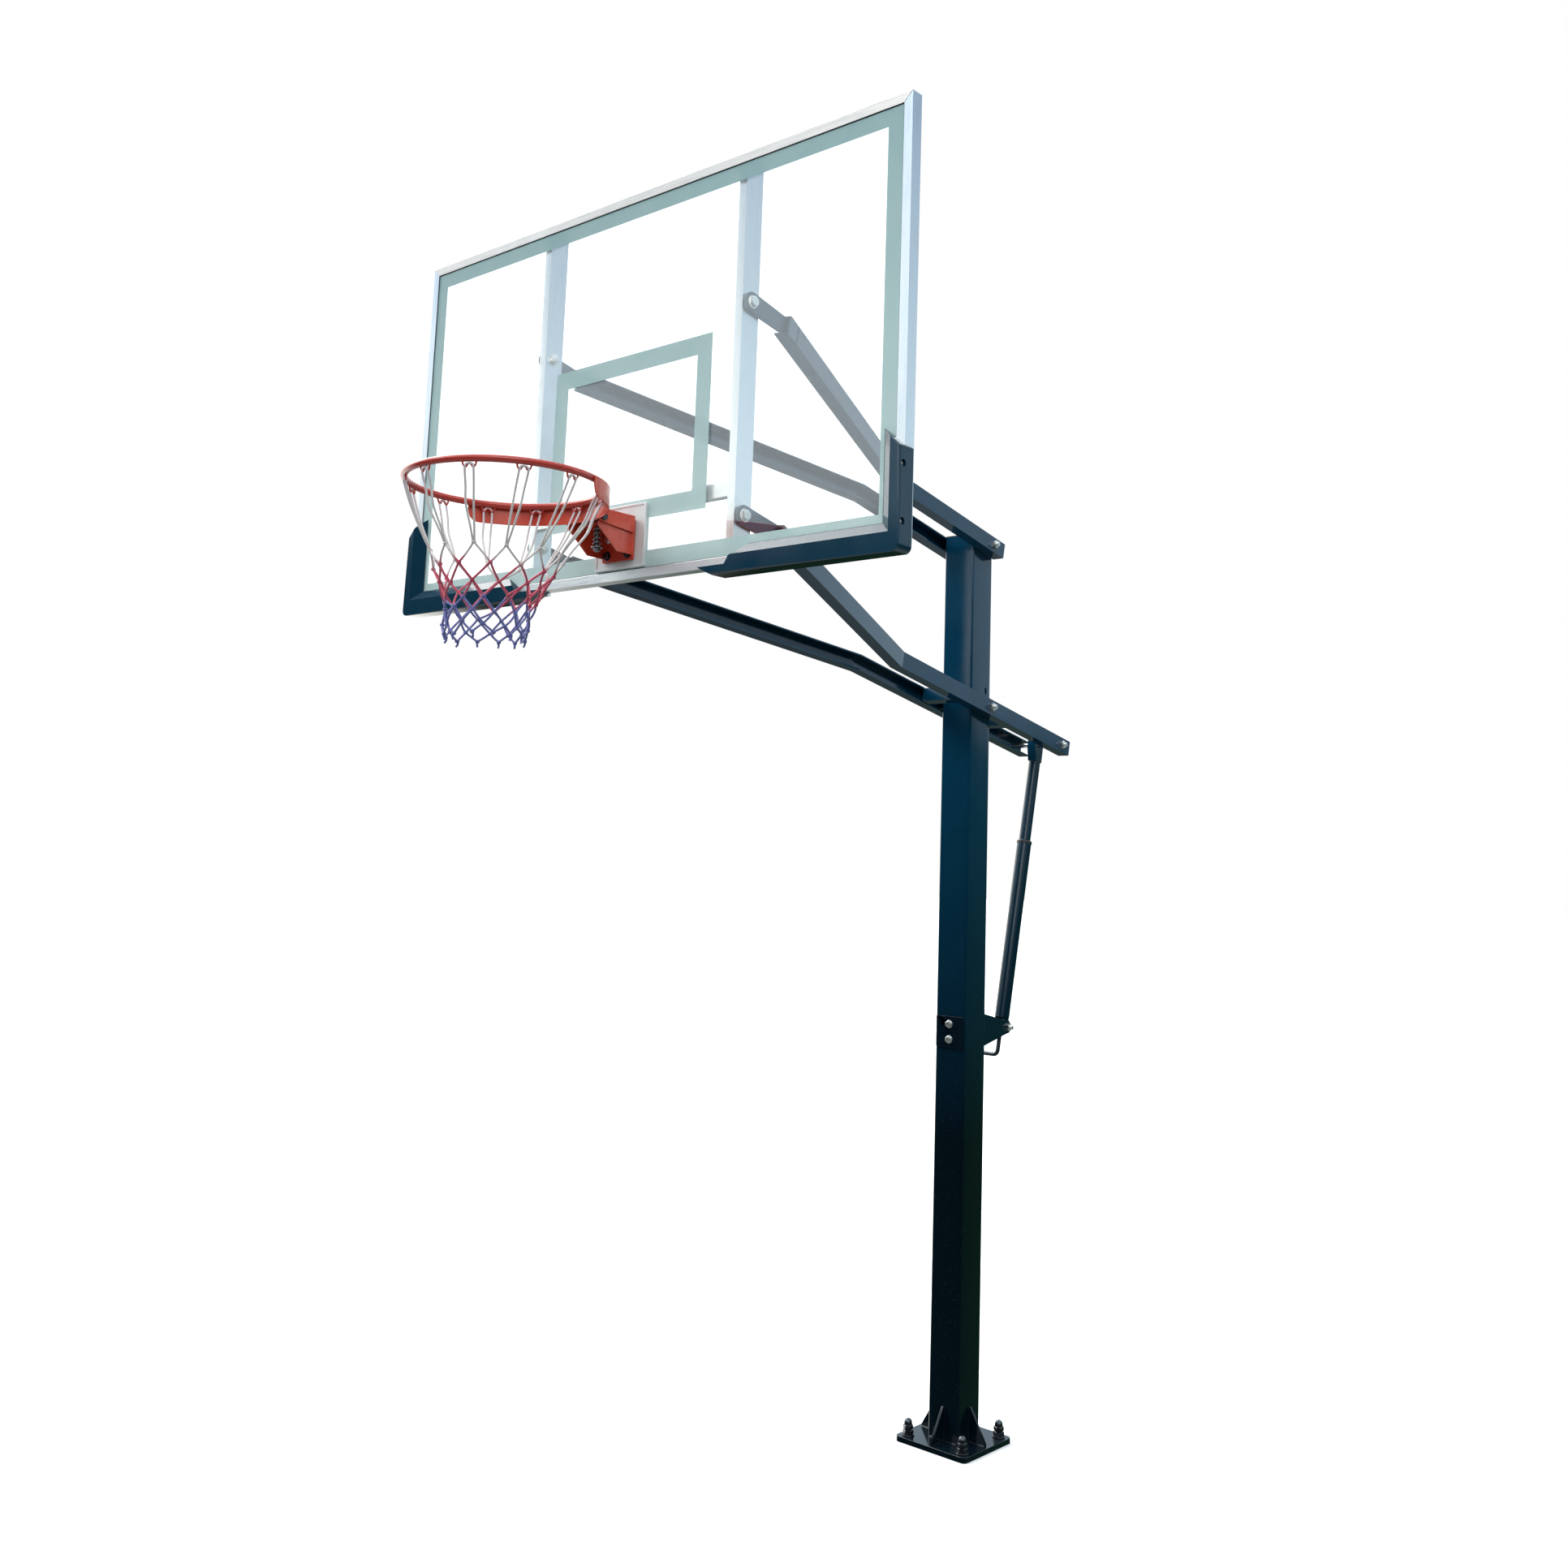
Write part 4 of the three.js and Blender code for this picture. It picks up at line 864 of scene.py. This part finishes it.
def make_net():
    """Knotted net: each hook carries a loop, and neighbouring strands are knotted row by row."""
    centre, radius, _ = ring_centre()
    bm = bmesh.new()
    uv = bm.loops.layers.uv.new("UVMap")

    def sway(z):
        drop = max(centre.z - 0.03 - z, 0)
        return Vector((-0.10 * drop - 0.18 * drop * drop, 0.015 * drop, 0))

    def at(r, angle, z):
        return Vector((centre.x + r * math.cos(angle), centre.y + r * math.sin(angle), z)) + sway(z)

    def jitter(size):
        return random.uniform(-size, size) * MM

    knots = []
    for z, r, phase in NET_ROWS:
        row = []
        for k in range(HOOKS):
            angle = HOOK_PHASE + (k + phase) * math.tau / HOOKS + jitter(6) / r
            row.append(at(r + jitter(4), angle, z + jitter(6)))
        knots.append(row)

    def outwards(point):
        return Vector((point.x - centre.x, point.y - centre.y, 0)).normalized()

    def strand(a, b, bow, parts=9):
        middle = (a + b) / 2
        bend = middle + outwards(middle) * bow + Vector((jitter(2), jitter(2), jitter(2)))
        line = [(1 - t) ** 2 * a + 2 * t * (1 - t) * bend + t * t * b
                for t in (i / parts for i in range(parts + 1))]
        tube(bm, line, CORD, 8, uv=uv)

    for k in range(HOOKS):
        angle = HOOK_PHASE + k * math.tau / HOOKS
        r = radius - 1 * MM
        half = 10.5 * MM / r
        top = centre.z - 12 * MM
        knot = knots[0][k]
        offset = 1.7 * MM
        bow = jitter(5)
        outward = Vector((math.cos(angle), math.sin(angle), 0))
        side = Vector((-math.sin(angle), math.cos(angle), 0))

        def leg(sign):
            start = at(r, angle + sign * half, top - 9 * MM)
            middle = ((start * 0.5 + knot * 0.5) + outward * (7 * MM + bow)
                      + side * sign * (3.5 * MM + jitter(2)))
            return [start, start * 0.75 + knot * 0.25 + outward * 4 * MM + side * sign * 2 * MM, middle,
                    start * 0.2 + knot * 0.8 + outward * 3 * MM + side * sign * 2.6 * MM,
                    knot + side * sign * offset]

        over = [at(r, angle + half * share, top - drop)
                for share, drop in ((-0.75, 2 * MM), (-0.3, 0), (0.3, 0), (0.75, 2 * MM))]
        tube(bm, smooth_line(leg(-1)[::-1] + over + leg(1), 5), CORD, 8, uv=uv)

    for level in range(len(NET_ROWS) - 1):
        here, below = knots[level], knots[level + 1]
        shift = 0 if NET_ROWS[level][2] == 0 else 1
        for k in range(HOOKS):
            for step in (-1, 0):
                strand(here[k], below[(k + step + shift) % HOOKS], jitter(7) + 2 * MM)

    last = knots[-1]
    for k in range(HOOKS):
        a, b = last[k], last[(k + 1) % HOOKS]
        foot = (a + b) / 2
        foot.z = NET_FOOT + jitter(3)
        strand(a, foot, 3 * MM, 6)
        strand(b, foot, 2 * MM, 6)
        tail = [foot, foot + Vector((jitter(3), jitter(3), -6 * MM)),
                foot + outwards(foot) * jitter(4) + Vector((0, 0, -14 * MM))]
        tube(bm, smooth_line(tail, 3), [CORD * (1.1 - 0.02 * i) for i in range(7)], 8, uv=uv)
        knots.append([foot])

    for row in knots:
        for point in row:
            u = outwards(point)
            side = u.cross(Vector((0, 0, 1)))
            for tilt in (0.5, -0.7):
                normal = (Vector((0, 0, 1)) * math.cos(tilt) + side * math.sin(tilt)).normalized()
                v = normal.cross(u)
                loop = [point + normal * jitter(1.2) + KNOT * (math.cos(t) * u + math.sin(t) * v)
                        for t in (i * math.tau / 8 for i in range(8))]
                tube(bm, loop, CORD * 1.05, 6, closed=True, uv=uv)
    add_piece("net_knotted", bm, "cord", "rim", ["net"], sharp=60)


# ------------------------ board

def make_print():
    """Border and target lines, a paint layer on the front of the glass, and the rubber gasket
    between the glass and its frame."""
    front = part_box("glass_panel")[0].y - 0.02 * MM
    frame_low, frame_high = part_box("frame_rail_bottom")
    bottom, top = frame_low.z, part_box("frame_rail_top")[1].z
    half, face = frame_high.x, 24 * MM

    def border(name, x0, x1, z0, z1, line, finish="print", thick=0.18 * MM):
        def corners(inset):
            left, right, lower, upper = x0 + inset, x1 - inset, z0 + inset, z1 - inset
            return [(left, lower), (right, lower), (right, upper), (left, upper)]

        bm = bmesh.new()
        outer, inner = corners(0), corners(line)
        rings = [[bm.verts.new((x, y, z)) for x, z in loop]
                 for loop, y in ((outer, front), (inner, front),
                                 (inner, front - thick), (outer, front - thick))]
        for a, b in zip(rings, rings[1:] + rings[:1]):
            bridge(bm, a, b)
        add_piece(name, bm, finish, "backboard", sharp=30)

    edge = face + 2.2 * MM
    border("board_border", -half + edge, half - edge, bottom + edge, top - edge, 43 * MM)
    wide, tall, rise = 590 * MM, 450 * MM, 153.5 * MM
    border("board_target", -wide / 2, wide / 2, bottom + rise, bottom + rise + tall, 50 * MM)
    border("board_gasket", -half + face, half - face, bottom + face, top - face, 1.8 * MM,
           "plastic", 0.5 * MM)


def make_glass():
    """Toughened pane with ground edges and drilled bolt holes."""
    low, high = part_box("glass_panel")
    edge = 1.2 * MM
    bm = bmesh.new()
    rings = []
    for inset, y in ((edge, low.y), (0, low.y + edge), (0, high.y - edge), (edge, high.y)):
        x0, x1, z0, z1 = low.x + inset, high.x - inset, low.z + inset, high.z - inset
        rings.append([bm.verts.new((x, y, z)) for x, z in ((x0, z0), (x1, z0), (x1, z1), (x0, z1))])
    bm.faces.new(rings[0])
    bm.faces.new(rings[-1])
    for a, b in zip(rings, rings[1:]):
        bridge(bm, a, b)
    pane = raw_object(bm, "glass_pane")
    holes = []
    for i in range(4):
        bolt_low, bolt_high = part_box(f"rim_bolt_{i + 1}")
        middle = (bolt_low + bolt_high) / 2
        hole = bmesh.new()
        lathe(hole, [(0, 0), (8 * MM, 0), (8 * MM, 40 * MM), (0, 40 * MM)], 32,
              axis_matrix((middle.x, low.y - 10 * MM, middle.z), (0, 1, 0)))
        holes.append(raw_object(hole))
    cut_by(pane, holes)
    finish_piece(pane, "glass", "backboard", ["glass_panel"])


def cut_by(piece, cutters):
    """Subtracts the cutters from piece and removes them."""
    for cutter in cutters:
        less = piece.modifiers.new("cut", "BOOLEAN")
        less.operation = "DIFFERENCE"
        less.solver = "EXACT"
        less.object = cutter
    made = bpy.data.meshes.new_from_object(piece.evaluated_get(bpy.context.evaluated_depsgraph_get()))
    piece.modifiers.clear()
    old, piece.data = piece.data, made
    bpy.data.meshes.remove(old)
    for cutter in cutters:
        bpy.data.objects.remove(cutter)


def block(x, y, z):
    bm = bmesh.new()
    prism(bm, [(x[0], y[0]), (x[1], y[0]), (x[1], y[1]), (x[0], y[1])], z[0], z[1], "Z")
    return raw_object(bm)


def make_pad(name, side):
    """Moulded corner pad: rounded outside edges, sloping lip towards the glass, sunk screws."""
    low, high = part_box(name)
    outer, corner, screw_heights, screw_y = 906 * MM, 16 * MM, (2.495, 2.625), -1.5885
    outline = [(0.350, low.z)]
    outline += [(outer - corner + corner * math.sin(t), low.z + corner - corner * math.cos(t))
                for t in (i * math.pi / 20 for i in range(11))]
    outline += [(outer, 2.664), (0.872, 2.694), (0.844, high.z), (0.844, 2.500), (0.446, 2.500),
                (0.402, 2.470), (0.390, 2.4515), (0.300, 2.4515)]
    bm = bmesh.new()
    front = prism(bm, [(side * x, z) for x, z in outline], low.y, high.y, "Y")
    rounded = [bm.edges.get((front[i], front[i + 1])) for i in range(13)]
    bmesh.ops.bevel(bm, geom=rounded, offset=7 * MM, segments=5, affect="EDGES", profile=0.5)
    pad = raw_object(bm, f"{name}_moulded")

    board_low, board_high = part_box("frame_rail_bottom")
    gap = 0.3 * MM
    channel = block((-board_high.x - gap, board_high.x + gap), (board_low.y - gap, high.y + 20 * MM),
                    (board_low.z - gap, board_low.z + 1.2))
    slope = bmesh.new()
    rings = []
    for y, x, z in ((low.y - 10 * MM, 0.8918, 2.4621), (board_low.y - gap + 4 * MM, 0.8385, 2.5044)):
        rings.append([slope.verts.new((side * a, y, c))
                      for a, c in ((0.2, z), (x, z), (x, 2.9), (0.2, 2.9))])
        slope.faces.new(rings[-1])
    bridge(slope, *rings)
    holes = []
    for z in screw_heights:
        hole = bmesh.new()
        lathe(hole, [(0, 0), (8.5 * MM, 0), (8.5 * MM, 20 * MM), (0, 20 * MM)], 28,
              axis_matrix((side * (outer - 8 * MM), screw_y, z), (side, 0, 0)))
        holes.append(raw_object(hole))
    cut_by(pad, [channel, raw_object(slope), *holes])
    cleaned = bmesh.new()
    cleaned.from_mesh(pad.data)
    bmesh.ops.remove_doubles(cleaned, verts=cleaned.verts, dist=0.02 * MM)
    bmesh.ops.dissolve_limit(cleaned, angle_limit=math.radians(0.5), verts=cleaned.verts,
                             edges=cleaned.edges)
    bmesh.ops.recalc_face_normals(cleaned, faces=cleaned.faces)
    cleaned.to_mesh(pad.data)
    cleaned.free()
    soften(pad, 1.2 * MM, 3)
    finish_piece(pad, "pad", "backboard", [name])

    bm = bmesh.new()
    for z in screw_heights:
        place = axis_matrix((side * (outer - 7.9 * MM), screw_y, z), (side, 0, 0))
        lathe(bm, [(0, 0), (5.2 * MM, 0), (5.2 * MM, 1.2 * MM), (4.2 * MM, 2.8 * MM),
                   (2.2 * MM, 3.6 * MM), (1.9 * MM, 2.4 * MM), (0, 2.2 * MM)], 24, place)
    add_piece(f"{name}_screws", bm, "zinc", "backboard", sharp=25)


# ------------------------ jack

def jack_frame():
    """Matrix of the tilted jack, whose foot bolt is its origin and whose axis is +Z, and its length."""
    foot = Vector((0, *middle_yz("jack_foot_bolt")))
    top = Vector((0, *middle_yz("jack_top_bolt")))
    axis = (top - foot).normalized()
    across = Vector((1, 0, 0))
    turn = Matrix((across, axis.cross(across), axis)).transposed()
    return Matrix.Translation(foot) @ turn.to_4x4(), (top - foot).length


def make_jack():
    """Housing tube and collar, the rod in them, and the crank with its ribbed grip. The
    profiles and the crank's path are in millimetres along the jack."""
    place, length = jack_frame()

    def turned(name, finish, body, node, profile, sides=48, at=place):
        bm = bmesh.new()
        lathe(bm, [(r * MM, h * MM) for r, h in profile], sides, at)
        add_piece(name, bm, finish, body, [node], sharp=30)

    turned("jack_housing_tube", "tube", "jack_housing", "jack_housing",
           [(20, 28), (23, 28), (24, 29), (24, 619), (23.4, 620), (20, 620)])
    turned("jack_collar_turned", "plastic", "jack_housing", "jack_collar",
           [(20, 620.3), (24.7, 620.3), (25.5, 621.1), (25.5, 628.6), (24.2, 630), (20, 630)])
    top = length / MM - 60.3
    turned("jack_rod_tube", "tube", "jack_rod", "jack_rod",
           [(0, 205), (18.4, 205), (19.4, 206), (19.4, top - 0.6), (18.8, top), (0, top)])
    dress("jack_foot", "navy", 1.5 * MM)
    dress("jack_yoke", "navy", 1.5 * MM)

    low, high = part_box("crank_rod")
    drop, grip, bend, rod, ribs = 92, 105, 14, 7, 9
    reach = (high.x - low.x) / MM - 2 * rod
    turns = [i * math.pi / 16 for i in range(1, 8)]
    path = [(0, -20), (0, bend - drop)]
    path += [(bend * math.cos(t) - bend, bend - drop - bend * math.sin(t)) for t in turns]
    path += [(-bend, -drop), (bend - reach, -drop)]
    path += [(bend - reach - bend * math.sin(t), bend * math.cos(t) - drop - bend) for t in turns]
    path += [(-reach, -drop - bend), (-reach, -drop - grip - 19)]
    bm = bmesh.new()
    tube(bm, [place @ Vector((x * MM, 0, z * MM)) for x, z in path], rod * MM, 20)
    add_piece("crank_bar", bm, "steel", "crank", ["crank_rod"], sharp=40)
    start, end = -drop - grip - 12, -drop - 20
    profile = [(7.6, start), (11, start), (12.6, start + 1.5), (13, start + 4)]
    for i in range(ribs):
        at = start + 8 + (end - start - 16) * i / (ribs - 1)
        profile += [(13, at - 2.4), (12.2, at - 1.2), (12.2, at + 1.2), (13, at + 2.4)]
    profile += [(13, end - 4), (12.4, end - 1), (11, end), (7.6, end)]
    turned("crank_grip_moulded", "plastic", "crank", "crank_grip", profile, 32,
           place @ Matrix.Translation((-reach * MM, 0, 0)))


# ------------------------ welds

def weld_bead(bm, start, end, radius):
    """Lumpy bead along a straight run."""
    count = max(int((end - start).length / (2.2 * MM)), 4)
    line = [start.lerp(end, i / count) for i in range(count + 1)]
    radii = [radius * (0.82 + 0.22 * abs(math.sin(i * 1.35)) + random.uniform(-0.05, 0.05))
             for i in range(count + 1)]
    tube(bm, line, radii, 8)


def make_welds():
    """Fillet welds where the pole and gussets meet each other and the base plate."""
    deck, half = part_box("base_plate")[1].z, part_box("pole_tube")[1].x
    edge, reach = half - 8 * MM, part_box("gusset_right")[1].x - 3 * MM
    bead, gap, gusset = 3.2 * MM, 3 * MM, 4 * MM
    bm = bmesh.new()
    for quarter in range(4):
        turn = Matrix.Rotation(quarter * math.pi / 2, 4, "Z")
        for side in (-1, 1):
            for start, end in (
                    ((half, side * (gusset + gap), deck), (half, side * edge, deck)),
                    ((half + gap, side * gusset, deck), (reach, side * gusset, deck)),
                    ((half, side * gusset, deck + gap), (half, side * gusset, deck + 97 * MM))):
                weld_bead(bm, turn @ Vector(start), turn @ Vector(end), bead)
    add_piece("base_welds", bm, "navy", "pole", sharp=50)


# ------------------------ everything

def dress_nodes():
    """CAD nodes that keep their shape."""
    plain = {
        "navy": ["pole_tube", "base_plate", "gusset_front", "gusset_back", "gusset_left", "gusset_right",
                 "jack_bracket", "lower_arm_left", "lower_arm_right", "upper_arm_left",
                 "upper_arm_right", "lower_brace_front", "lower_brace_back"],
        "dark": ["clamp_plate_front"],
        "alu_x": ["frame_rail_bottom", "frame_rail_top", "cross_rail_lower", "cross_rail_upper"],
        "alu_z": ["frame_rail_left", "frame_rail_right", "upright_left", "upright_right"],
    }
    for finish, names in plain.items():
        for name in names:
            dress(name, finish, 0.7 * MM if "rail" in name else 1.4 * MM, 9 if "arm" in name else 32)
    dress("pole_cap", "plastic", 1.2 * MM)
    dress("rim_backing_plate", "zinc", 0.8 * MM)
    dress("rim_bracket", "orange", 1.0 * MM)


FINISHES = make_finishes()
make_camera()
make_sky()
area_light("key", (4.5, -5.5, 6.0), (0, -1.0, 2.4), 4.0, 130, (1.0, 0.98, 0.95))
make_floor()
dress_nodes()
make_bolts()
make_anchors()
make_ring()
make_housing()
make_folds()
make_spring()
make_pivot_pin()
make_mount_plate()
make_net()
make_glass()
make_print()
make_pad("corner_pad_left", -1)
make_pad("corner_pad_right", 1)
make_jack()
make_welds()
